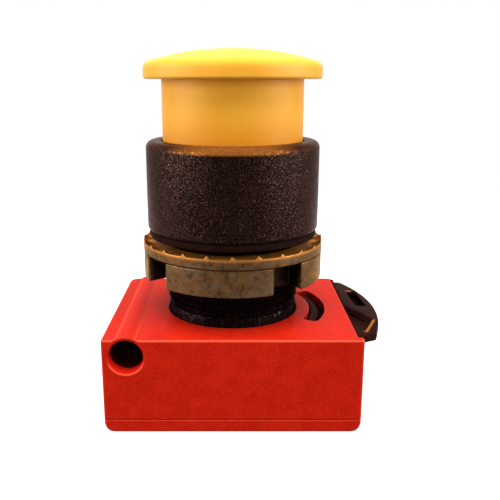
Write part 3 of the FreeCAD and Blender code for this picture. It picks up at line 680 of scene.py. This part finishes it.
BLACK_THREAD = MouldedPlastic(
    name="black_thread", colour=(0.004, 0.0016, 0.0018), deep=(0.002, 0.0008, 0.0009),
    rubbed_and_highlight=(0.26, 0.145, 0.135), roughness=0.4, grain_mm=0.2, grain_depth_mm=0.03, blotch_mm=2.0, dust=0.4,
    gloss=0.003, sheen=(1.0, 0.45, 0.5), scuff=0.0, glints=0.5, grit=SPARSE_GRIT, metal_grit=True,
)
IVORY = MouldedPlastic(
    name="ivory_moulding", colour=(0.6, 0.56, 0.44), deep=(0.52, 0.48, 0.36), rubbed_and_highlight=(0.68, 0.65, 0.55),
    roughness=0.5, grain_mm=0.2, grain_depth_mm=0.01, blotch_mm=4.0, dust=0.1, edge_mm=0.1,
)
# Painted light on the washer's top face, which lies in the gasket's shade.
GOLDEN_TOP = RingTint(
    full_radius=14.5, plain_radius=15.25, share=0.9, colour=(0.66, 0.235, 0.042), walls=False
)
# Painted shade on the inner walls of the nut's notches.
DARK_NOTCHES = RingTint(full_radius=14.1, plain_radius=15.0, share=0.96, colour=PAINTED_SHADE, walls=True)
ZINC = CastMetal(
    name="die_cast_zinc", bright=(0.071, 0.034, 0.0115), stain=(0.013, 0.0048, 0.003),
    worn=(0.36, 0.17, 0.05), patina=(0.063, 0.039, 0.019), roughness=0.34, mottle_mm=1.2,
    pit_depth_mm=0.03, edge_mm=0.14,
    # Painted reflection: a golden band over the washer's rim and teeth.
    marks=(PaintedLightBand(plain_z=27.4, full_z=28.0, colour=(0.27, 0.095, 0.018), share=0.8), GOLDEN_TOP),
)
ZINC_NUT = replace(ZINC, name="nut_zinc", marks=(DARK_NOTCHES,))
STEEL = PlainMetal("plated_steel", (0.62, 0.61, 0.58), (0.38, 0.36, 0.32), roughness=0.32, line_mm=0.2)
SPRING = PlainMetal("spring_wire", (0.42, 0.42, 0.43), (0.25, 0.24, 0.23), roughness=0.35, line_mm=0.12)
BRASS = PlainMetal("brass_strip", (0.72, 0.52, 0.2), (0.4, 0.26, 0.1), roughness=0.34, line_mm=0.25)
SILVER = PlainMetal("contact_silver", (0.88, 0.87, 0.84), (0.5, 0.48, 0.45), roughness=0.25, line_mm=0.1)
RUBBER = Rubber("black_rubber", colour=(0.011, 0.004, 0.0028), bloom=(0.028, 0.011, 0.006))


class Wardrobe:
    """Makes each finish once and hands it out."""

    def __init__(self) -> None:
        """Starts with no materials made."""
        self._made: dict[str, bpy.types.Material] = {}

    def of(self, finish: Finish) -> bpy.types.Material:
        """The finish's material, made on first use."""
        if finish.name not in self._made:
            self._made[finish.name] = finish.material()
        return self._made[finish.name]

    def dress(self, obj: bpy.types.Object, finish: Finish) -> None:
        """Gives a mesh object one finish all over."""
        obj.data.materials.clear()
        obj.data.materials.append(self.of(finish))


def finish_piece(
    obj: bpy.types.Object, body: Body, slot: str, wardrobe: Wardrobe, finish: Finish, *nodes: str
) -> None:
    """Dresses a piece, ties it to its body and hides the CAD nodes that it stands for.

    Args:
        obj: The piece.
        body: The body that it rides on.
        slot: Not used.
        wardrobe: The finishes.
        finish: The piece's finish.
        nodes: The CAD nodes that it stands for.
    """
    wardrobe.dress(obj, finish)
    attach(obj, body.value)
    if nodes:
        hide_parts(*nodes)
    log.info("%s rides on %s", obj.name, body.value)


def arc(centre: tuple[float, float], radius: float, start: float, end: float, steps: int) -> Outline:
    """Points along an arc from one angle to another, in radians, with both ends."""
    turns = [start + (end - start) * step / steps for step in range(steps + 1)]
    return [(centre[0] + radius * math.cos(turn), centre[1] + radius * math.sin(turn)) for turn in turns]


def rounded(corners: Sequence[tuple[float, float, float]]) -> Outline:
    """Rounds the corners of a closed outline.

    Args:
        corners: Each corner's two coordinates and its radius.

    Returns:
        The outline's points.
    """
    points: Outline = []
    count = len(corners)
    for index, (x, y, radius) in enumerate(corners):
        here = Vector((x, y))
        if radius <= 0:
            points.append((x, y))
            continue
        before = (Vector(corners[index - 1][:2]) - here).normalized()
        after = (Vector(corners[(index + 1) % count][:2]) - here).normalized()
        half = before.angle(after) / 2
        centre = here + (before + after).normalized() * (radius / math.sin(half))
        reach = radius / math.tan(half)
        start, end = here + before * reach - centre, here + after * reach - centre
        for step in range(CORNER_STEPS + 1):
            turn = start.lerp(end, step / CORNER_STEPS)
            points.append(tuple(centre + turn.normalized() * radius))
    return points


def shade_smooth(data: bpy.types.Mesh, sharp_deg: float) -> None:
    """Shades a mesh smooth, apart from edges that turn by more than the angle."""
    data.polygons.foreach_set("use_smooth", [True] * len(data.polygons))
    data.set_sharp_from_angle(angle=math.radians(sharp_deg))


def new_object(name: str, mesh: bmesh.types.BMesh) -> bpy.types.Object:
    """Turns a bmesh into a smooth-shaded object.

    Args:
        name: The object's name.
        mesh: The shape in metres, freed here.

    Returns:
        The object, linked to the scene.
    """
    bmesh.ops.remove_doubles(mesh, verts=mesh.verts, dist=WELD_M)
    bmesh.ops.recalc_face_normals(mesh, faces=mesh.faces)
    data = bpy.data.meshes.new(name)
    mesh.to_mesh(data)
    mesh.free()
    shade_smooth(data, SHARP_DEG)
    obj = bpy.data.objects.new(name, data)
    bpy.context.scene.collection.objects.link(obj)
    return obj


def lathe(
    name: str,
    outline: Outline,
    steps: int = 192,
    lift: Optional[Callable[[float, float, float], float]] = None,
) -> bpy.types.Object:
    """Turns a closed outline about the button's axis.

    Args:
        name: The piece's name.
        outline: Radius and height of each point, in millimetres.
        steps: Runs round the axis.
        lift: Height to add at a radius, height and angle, in millimetres.

    Returns:
        The turned piece.
    """
    mesh = bmesh.new()
    rings = []
    for step in range(steps):
        angle = 2 * math.pi * step / steps
        ring = []
        for radius, height in outline:
            rise = lift(radius, height, angle) if lift else 0.0
            spot = Vector((radius * math.cos(angle), radius * math.sin(angle), height + rise)) * MM
            ring.append(mesh.verts.new(spot))
        rings.append(ring)
    for step in range(steps):
        here, there = rings[step], rings[(step + 1) % steps]
        for index in range(len(outline)):
            after = (index + 1) % len(outline)
            if outline[index][0] > ON_AXIS or outline[after][0] > ON_AXIS:
                mesh.faces.new((here[index], there[index], there[after], here[after]))
    return new_object(name, mesh)


def cad_copy(node: bpy.types.Object) -> bmesh.types.BMesh:
    """A copy of a CAD piece's mesh, to work on."""
    mesh = bmesh.new()
    mesh.from_mesh(node.data)
    return mesh


def settle(piece: bpy.types.Object, modifier: bpy.types.Modifier) -> None:
    """Turns the result of the piece's only modifier into its plain mesh."""
    bpy.context.view_layer.update()
    done = piece.evaluated_get(bpy.context.evaluated_depsgraph_get())
    mesh = bpy.data.meshes.new_from_object(done)
    piece.modifiers.remove(modifier)
    piece.data = mesh
    mesh.name = piece.name


def grown(name: str, tree: bpy.types.NodeTree, values: dict[str, Any], sharp_deg: float) -> bpy.types.Object:
    """Runs a geometry tree and keeps its result as a plain mesh.

    Args:
        name: The piece's name.
        tree: The geometry nodes.
        values: Values of the tree's inputs, by name.
        sharp_deg: Edges that turn by more than this stay sharp.

    Returns:
        The piece, with no modifier left.
    """
    host = bpy.data.objects.new(name, bpy.data.meshes.new(name + "_seed"))
    bpy.context.scene.collection.objects.link(host)
    modifier = host.modifiers.new("grow", "NODES")
    modifier.node_group = tree
    for item in tree.interface.items_tree:
        if item.in_out == "INPUT" and item.name in values:
            modifier[item.identifier] = values[item.name]
    settle(host, modifier)
    shade_smooth(host.data, sharp_deg)
    return host


@dataclass
class Operator:
    """The head, its bezel and the gasket under it."""

    head_radius: float = 14.5
    dome_radius: float = 48.0
    dome_steps: int = 24
    shoulder_radius: float = 1.3
    shoulder_steps: int = 10
    skirt_drop: float = 0.2
    rim_round: float = 0.4
    apex_z: float = 59.2
    rim_z: float = 54.4
    neck_radius: float = 11.6
    neck_root_round: float = 0.15
    neck_bore: float = 10.1
    neck_foot: float = 41.9
    neck_foot_round: float = 0.1
    ceiling_z: float = 56.0
    bezel_radius: float = 14.4
    bezel_bore: float = 11.85
    bezel_bore_round: float = 0.2
    bezel_lip_radius: float = 11.05
    bezel_lip: float = 2.0
    bezel_z: float = 30.0
    bezel_top: float = 44.7
    bezel_round: float = 1.2
    bezel_foot_round: float = 0.6
    gasket_radius: float = 14.1
    gasket_z: float = 28.85
    gasket_foot_round: float = 0.25
    gasket_top_round: float = 0.35
    gasket_bore_round: float = 0.1

    def head_outline(self) -> Outline:
        """Section of the head: dome, shoulder, rim, neck and the hollow inside."""
        dome_z = self.apex_z - self.dome_radius
        inner_r = self.head_radius - self.shoulder_radius
        reach = self.dome_radius - self.shoulder_radius
        shoulder_z = dome_z + math.sqrt(reach**2 - inner_r**2)
        slope = math.atan2(shoulder_z - dome_z, inner_r)
        dome = arc((0.0, dome_z), self.dome_radius, math.pi / 2, slope, self.dome_steps)
        shoulder = arc((inner_r, shoulder_z), self.shoulder_radius, slope, 0.0, self.shoulder_steps)
        below = rounded(
            [
                (self.head_radius, shoulder_z - self.skirt_drop, 0.0),
                (self.head_radius, self.rim_z, self.rim_round),
                (self.neck_radius, self.rim_z, self.neck_root_round),
                (self.neck_radius, self.neck_foot, self.neck_foot_round),
                (self.neck_bore, self.neck_foot, self.neck_foot_round),
                (self.neck_bore, self.ceiling_z, 0.0),
                (0.0, self.ceiling_z, 0.0),
            ]
        )
        return dome + shoulder[1:] + below

    def bezel_outline(self) -> Outline:
        """Section of the bezel, with its rounded top and the lip at its foot."""
        foot = self.bezel_z + self.bezel_lip
        return rounded(
            [
                (self.bezel_radius, self.bezel_z, self.bezel_foot_round),
                (self.bezel_radius, self.bezel_top, self.bezel_round),
                (self.bezel_bore, self.bezel_top, self.bezel_bore_round),
                (self.bezel_bore, foot, 0.0),
                (self.bezel_lip_radius, foot, 0.0),
                (self.bezel_lip_radius, self.bezel_z, 0.0),
            ]
        )

    def gasket_outline(self) -> Outline:
        """Section of the gasket, which reaches up to the bezel."""
        return rounded(
            [
                (self.gasket_radius, self.gasket_z, self.gasket_foot_round),
                (self.gasket_radius, self.bezel_z, self.gasket_top_round),
                (self.bezel_lip_radius, self.bezel_z, 0.0),
                (self.bezel_lip_radius, self.gasket_z, self.gasket_bore_round),
            ]
        )

    def build(self, wardrobe: Wardrobe) -> None:
        """Builds the pieces and dresses them."""
        head = lathe("head_moulding", self.head_outline())
        finish_piece(head, Body.HEAD, "yellow_plastic", wardrobe, YELLOW, "mushroom_head")
        bezel = lathe("bezel_collar", self.bezel_outline())
        finish_piece(bezel, Body.BASE, "black_plastic", wardrobe, BLACK, "bezel")
        gasket = lathe("gasket_ring", self.gasket_outline())
        finish_piece(gasket, Body.BASE, "black_rubber", wardrobe, RUBBER, "panel_gasket")


@dataclass
class Fixing:
    """The threaded barrel and the toothed washer."""

    crest_radius: float = 11.0
    thread_depth: float = 0.6
    pitch: float = 1.0
    root_share: float = 0.92
    crest_share: float = 0.16
    helix_steps: int = 96
    thread_sharp_deg: float = 30.0
    thread_low: float = 16.9
    thread_high: float = 29.9
    lead_in: float = 0.1
    run_out: float = 0.3
    groove_radius: float = 10.4
    groove_low: float = 12.3
    groove_high: float = 13.8
    foot_z: float = 11.1
    foot_bevel: float = 0.3
    barrel_bore: float = 9.0
    flange_radius: float = 11.8
    flange_z: float = 32.0
    top_z: float = 34.0
    stop_bore: float = 6.25
    stop_z: float = 32.6
    washer_radius: float = 15.25
    washer_bore: float = 11.25
    washer_z: float = 26.3
    washer_top: float = 28.0
    washer_bevel: float = 0.2
    tooth_count: int = 24
    tooth_steps: int = 16
    tooth_height: float = 0.5
    tooth_share: float = 0.27
    tooth_power: float = 1.4
    tooth_inner: float = 13.5
    tooth_root: float = 0.05
    dish: float = 0.4
    dish_edge: float = 0.15
    dish_wall: float = 0.2
    rim_width: float = 0.1
    rim_drop: float = 0.06
    slope_width: float = 0.55
    slope_share: float = 0.7
    lift_slack: float = 0.05

    def tooth_lift(self, radius: float, height: float, angle: float) -> float:
        """Height of the washer's top over its plain ring: sharp ridges with hollow troughs.

        Args:
            radius: Distance from the axis.
            height: The plain ring's height.
            angle: Direction round the axis.

        Returns:
            The rise in millimetres.
        """
        if height < self.washer_top - self.dish - self.lift_slack or radius < self.tooth_inner:
            return 0.0
        share = (angle * self.tooth_count / (2 * math.pi)) % 1.0
        near = max(0.0, 1 - min(share, 1 - share) * 2 / self.tooth_share)
        outward = (radius - self.tooth_inner) / (self.washer_radius - self.tooth_inner)
        return (self.washer_top - height + self.tooth_height) * near**self.tooth_power * outward

    def washer_outline(self) -> Outline:
        """Section of the washer, with extra points across the teeth."""
        outer, top, floor = self.washer_radius, self.washer_top, self.washer_top - self.dish
        return [
            (self.washer_bore, self.washer_z),
            (outer - self.washer_bevel, self.washer_z),
            (outer, self.washer_z + self.washer_bevel),
            (outer, floor - self.dish_wall),
            (outer, top - self.rim_drop),
            (outer - self.rim_width, top),
            (outer - self.slope_width, top - self.dish * self.slope_share),
            (self.tooth_inner + self.tooth_root, floor),
            (self.tooth_inner - self.dish_edge, floor),
            (self.washer_bore, floor),
        ]

    def barrel_outline(self) -> Outline:
        """Section of the barrel at the thread's root, with its foot groove, flange and stop."""
        crest_highlight, root = self.crest_radius, self.crest_radius - self.thread_depth
        return [
            (self.barrel_bore, self.foot_z),
            (crest_highlight - self.foot_bevel, self.foot_z),
            (crest_highlight, self.foot_z + self.foot_bevel),
            (crest_highlight, self.groove_low),
            (self.groove_radius, self.groove_low),
            (self.groove_radius, self.groove_high),
            (crest_highlight, self.groove_high),
            (crest_highlight, self.thread_low - self.lead_in),
            (crest_highlight - self.run_out / 2, self.thread_low + self.run_out / 2),
            (root, self.thread_low + self.run_out),
            (root, self.flange_z),
            (self.flange_radius, self.flange_z),
            (self.flange_radius, self.top_z),
            (self.stop_bore, self.top_z),
            (self.stop_bore, self.stop_z),
            (self.barrel_bore, self.stop_z),
        ]

    def thread_tree(self) -> bpy.types.NodeTree:
        """The geometry nodes that sweep a thread's ridge along its helix, with its sizes as inputs."""
        tree = bpy.data.node_groups.new("thread_ridge", "GeometryNodeTree")
        sizes = ("Radius", "Depth", "Pitch", "Turns", "Foot")
        for name in sizes:
            tree.interface.new_socket(name, in_out="INPUT", socket_type="NodeSocketFloat")
        tree.interface.new_socket("Finish", in_out="INPUT", socket_type="NodeSocketMaterial")
        tree.interface.new_socket("Geometry", in_out="OUTPUT", socket_type="NodeSocketGeometry")
        graph = Graph(tree)
        given = graph.node("NodeGroupInput")
        radius, depth, pitch, turns, foot = (given.beside(name) for name in sizes)
        middle = radius - depth * 0.5
        helix = graph.node(
            "GeometryNodeCurveSpiral",
            inputs={
                "Resolution": self.helix_steps, "Rotations": turns, "Height": pitch * turns,
                "Start Radius": middle, "End Radius": middle, "Reverse": True,
            },
        )
        helix = graph.node("GeometryNodeSetCurveNormal", {"mode": "Z_UP"}, {"Curve": helix})
        profile = graph.node(
            "GeometryNodeCurvePrimitiveQuadrilateral",
            {"mode": "TRAPEZOID"},
            {
                "Bottom Width": pitch * self.root_share, "Top Width": pitch * self.crest_share,
                "Offset": 0.0, "Height": depth,
            },
        )
        ridge = graph.node(
            "GeometryNodeCurveToMesh", inputs={"Curve": helix, "Profile Curve": profile, "Fill Caps": True}
        )
        lift = graph.node("ShaderNodeCombineXYZ", inputs={"Z": foot})
        ridge = graph.node("GeometryNodeTransform", inputs={"Geometry": ridge, "Translation": lift})
        ridge = graph.node("GeometryNodeRealizeInstances", inputs={"Geometry": ridge})
        finish = given.beside("Finish")
        ridge = graph.node("GeometryNodeSetMaterial", inputs={"Geometry": ridge, "Material": finish})
        graph.node("NodeGroupOutput", inputs={"Geometry": ridge})
        return tree

    def build(self, wardrobe: Wardrobe) -> None:
        """Builds the pieces and dresses them."""
        core = lathe("barrel_core", self.barrel_outline())
        finish_piece(core, Body.BASE, "black_plastic", wardrobe, BLACK_THREAD, "threaded_barrel")
        sizes = {
            "Radius": self.crest_radius * MM,
            "Depth": self.thread_depth * MM,
            "Pitch": self.pitch * MM,
            "Turns": (self.thread_high - self.thread_low - self.pitch) / self.pitch,
            "Foot": (self.thread_low + self.pitch / 2) * MM,
            "Finish": wardrobe.of(BLACK_THREAD),
        }
        thread = grown("barrel_thread", self.thread_tree(), sizes, self.thread_sharp_deg)
        finish_piece(thread, Body.BASE, "black_plastic", wardrobe, BLACK_THREAD)
        washer_steps = self.tooth_count * self.tooth_steps
        washer = lathe("washer_ring", self.washer_outline(), washer_steps, self.tooth_lift)
        finish_piece(washer, Body.WASHER, "zinc_alloy", wardrobe, ZINC, "lock_washer")


@dataclass
class RoundedPiece:
    """A CAD piece whose sharp edges are rounded as a moulding's or a casting's are."""

    FLAT_DEG = 0.5
    ROUND_SEGMENTS = 3

    node: str
    name: str
    body: Body
    slot: str
    finish: Finish
    round_mm: float

    def build(self, nodes: Nodes, wardrobe: Wardrobe) -> None:
        """Rounds a copy of its CAD piece and dresses it."""
        mesh = cad_copy(nodes[self.node])
        bmesh.ops.remove_doubles(mesh, verts=mesh.verts, dist=CAD_WELD_M)
        flat = math.radians(self.FLAT_DEG)
        bmesh.ops.dissolve_limit(mesh, angle_limit=flat, verts=mesh.verts, edges=mesh.edges)
        piece = new_object(self.name, mesh)
        bevel = piece.modifiers.new("soften", "BEVEL")
        bevel.width = self.round_mm * MM
        bevel.segments = self.ROUND_SEGMENTS
        bevel.limit_method = "ANGLE"
        bevel.angle_limit = math.radians(SHARP_DEG)
        bevel.use_clamp_overlap = False
        bevel.harden_normals = True
        settle(piece, bevel)
        finish_piece(piece, self.body, self.slot, wardrobe, self.finish, self.node)


ROUNDED = (
    RoundedPiece("latch_slide", "slide_moulding", Body.SLIDE, "black_plastic", BLACK_SMOOTH, round_mm=0.2),
    RoundedPiece("ring_nut", "nut_casting", Body.NUT, "zinc_alloy", ZINC_NUT, round_mm=0.22),
)


@dataclass
class CoilSpring:
    """A coil that stands on its foot."""

    node: str
    name: str
    travel: float = 5.5

    def build(self, nodes: Nodes, wardrobe: Wardrobe) -> None:
        """Copies the CAD coil and dresses it."""
        coil = new_object(self.name, cad_copy(nodes[self.node]))
        finish_piece(coil, Body.BASE, "spring_steel", wardrobe, SPRING, self.node)
        low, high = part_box(self.node)
        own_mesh(coil)


SPRINGS = (CoilSpring("return_spring", "return_coil"), CoilSpring("contact_spring", "contact_coil"))


@dataclass
class CarriedPieces:
    """The CAD pieces whose shape is kept, by finish."""

    names: dict[Finish, tuple[str, ...]]

    def dress(self, nodes: Nodes, wardrobe: Wardrobe) -> None:
        """Gives each of these CAD pieces its finish."""
        for finish, names in self.names.items():
            for name in names:
                wardrobe.dress(nodes[name], finish)
                log.info("%s keeps its CAD shape", name)


CARRIED = CarriedPieces(
    {
        RED: ("base_housing", "base_cover"),
        BLACK_SMOOTH: ("head_stem", "spring_seat"),
        STEEL: (
            "head_screw", "latch_retainer", "cover_screws", "locking_screw",
            "terminal_clamps", "terminal_screws",
        ),
        RUBBER: ("wiper_seal",),
        SPRING: ("latch_spring",),
        IVORY: ("contact_holder", "contact_carrier"),
        BRASS: ("fixed_contact_left", "fixed_contact_right", "contact_bridge"),
        SILVER: ("fixed_contact_tips", "bridge_tips"),
    }
)


@dataclass(frozen=True)
class Lamp:
    """A soft rectangular panel that faces the object."""

    AIM = (0.0, 0.0, 0.03)

    name: str
    place: Point
    size: tuple[float, float]
    power_w: float
    mirrored: bool = True
    lights: bool = True

    def hang(self) -> None:
        """Makes the lamp; mirrored lets gloss show it, and lights lets it light dull faces."""
        data = bpy.data.lights.new(self.name, "AREA")
        data.shape = "RECTANGLE"
        data.size, data.size_y = self.size
        data.energy = self.power_w
        lamp = bpy.data.objects.new(self.name, data)
        lamp.location = self.place
        lamp.rotation_euler = (Vector(self.AIM) - Vector(self.place)).to_track_quat("-Z", "Y").to_euler()
        lamp.visible_glossy = self.mirrored
        lamp.visible_diffuse = self.lights
        bpy.context.scene.collection.objects.link(lamp)


LAMPS = (
    Lamp("overhead", place=(0.0, -0.1, 0.66), size=(0.9, 0.8), power_w=11.7, mirrored=False),
    Lamp("back", place=(0.0, 0.55, 0.3), size=(0.9, 0.3), power_w=0.5),
    Lamp("left", place=(-0.4, -0.05, 0.13), size=(0.3, 0.24), power_w=1.55),
    Lamp("right", place=(0.4, -0.05, 0.13), size=(0.3, 0.24), power_w=1.55),
    Lamp("sheen_left", place=(-0.38, -0.124, 0.13), size=(0.36, 0.24), power_w=3.6, lights=False),
    Lamp("sheen_right", place=(0.38, -0.124, 0.13), size=(0.36, 0.24), power_w=3.6, lights=False),
    Lamp("front", place=(0.0, -0.55, 0.2), size=(0.4, 0.3), power_w=1.12, mirrored=False),
)


@dataclass
class Studio:
    """The floor, the sky, the lamps and the camera."""

    camera_place: Point = (0.0, -0.1084, 0.0541)
    camera_pitch_deg: float = 14.268
    lens_mm: float = 46.45
    sensor_mm: float = 36.0
    shift: tuple[float, float] = (0.0346, -0.0101)
    clip_start: float = 0.005
    sky_light: float = 0.08
    floor_radius: float = 0.22
    floor_solid_share: float = 0.4
    floor_cloud_mm: float = 60.0
    floor_cloud_detail: float = 2.0
    floor_roughness: float = 0.9
    floor_seen: tuple[Rgb, Rgb] = ((0.9, 0.9, 0.9), (0.94, 0.94, 0.94))
    floor_lit: tuple[Rgb, Rgb] = ((0.08, 0.08, 0.08), (0.1, 0.1, 0.1))

    def floor(self) -> None:
        """Lays the pale floor, which runs out into the white behind it and throws little light back up."""
        mesh = bmesh.new()
        bmesh.ops.create_grid(mesh, x_segments=1, y_segments=1, size=1.0)
        floor = new_object("floor", mesh)
        paint = Paint("pale_floor")
        cloud = paint.noise(self.floor_cloud_mm, self.floor_cloud_detail)
        away = paint.node("ShaderNodeVectorMath", {"operation": "LENGTH"}, {0: paint.place}, output="Value")
        there = 1 - away.band(self.floor_radius * self.floor_solid_share, self.floor_radius)
        dull = {"Roughness": self.floor_roughness, "Specular_IOR_Level": 0.0}
        pale = paint.surface(Base_Color=paint.blend(cloud, *self.floor_seen), Alpha=there, **dull)
        dim = paint.surface(Base_Color=paint.blend(cloud, *self.floor_lit), **dull)
        both = paint.node("ShaderNodeMixShader", inputs={0: paint.shown(), 1: dim, 2: pale})
        floor.data.materials.append(paint.close(both))

    def sky(self) -> None:
        """A world that is white behind the object and dim as a light."""
        world = bpy.data.worlds.new("studio")
        bpy.context.scene.world = world
        world.use_nodes = True
        world.node_tree.nodes.clear()
        graph = Graph(world.node_tree)
        looks = {"Color": (1.0, 1.0, 1.0, 1.0), "Strength": graph.shown().between(self.sky_light, 1.0)}
        glow = graph.node("ShaderNodeBackground", inputs=looks)
        graph.node("ShaderNodeOutputWorld", inputs={"Surface": glow})

    def camera(self) -> None:
        """Sets the camera where the photo was taken from."""
        data = bpy.data.cameras.new("camera")
        data.lens = self.lens_mm
        data.sensor_width = self.sensor_mm
        data.shift_x, data.shift_y = self.shift
        data.clip_start = self.clip_start
        camera = bpy.data.objects.new("camera", data)
        camera.location = self.camera_place
        camera.rotation_euler = (math.radians(90.0 - self.camera_pitch_deg), 0.0, 0.0)
        bpy.context.scene.collection.objects.link(camera)
        bpy.context.scene.camera = camera

    def build(self) -> None:
        """Sets the whole stage."""
        bpy.context.scene.view_settings.view_transform = "Standard"
        self.floor()
        self.sky()
        for lamp in LAMPS:
            lamp.hang()
        self.camera()


def main() -> None:
    """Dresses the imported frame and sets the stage."""
    logging.basicConfig(level=logging.INFO, format="%(name)s: %(message)s")
    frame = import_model()
    wardrobe = Wardrobe()
    CARRIED.dress(frame["nodes"], wardrobe)
    Operator().build(wardrobe)
    Fixing().build(wardrobe)
    for piece in (*ROUNDED, *SPRINGS):
        piece.build(frame["nodes"], wardrobe)
    Studio().build()


if __name__ == "__main__":
    main()
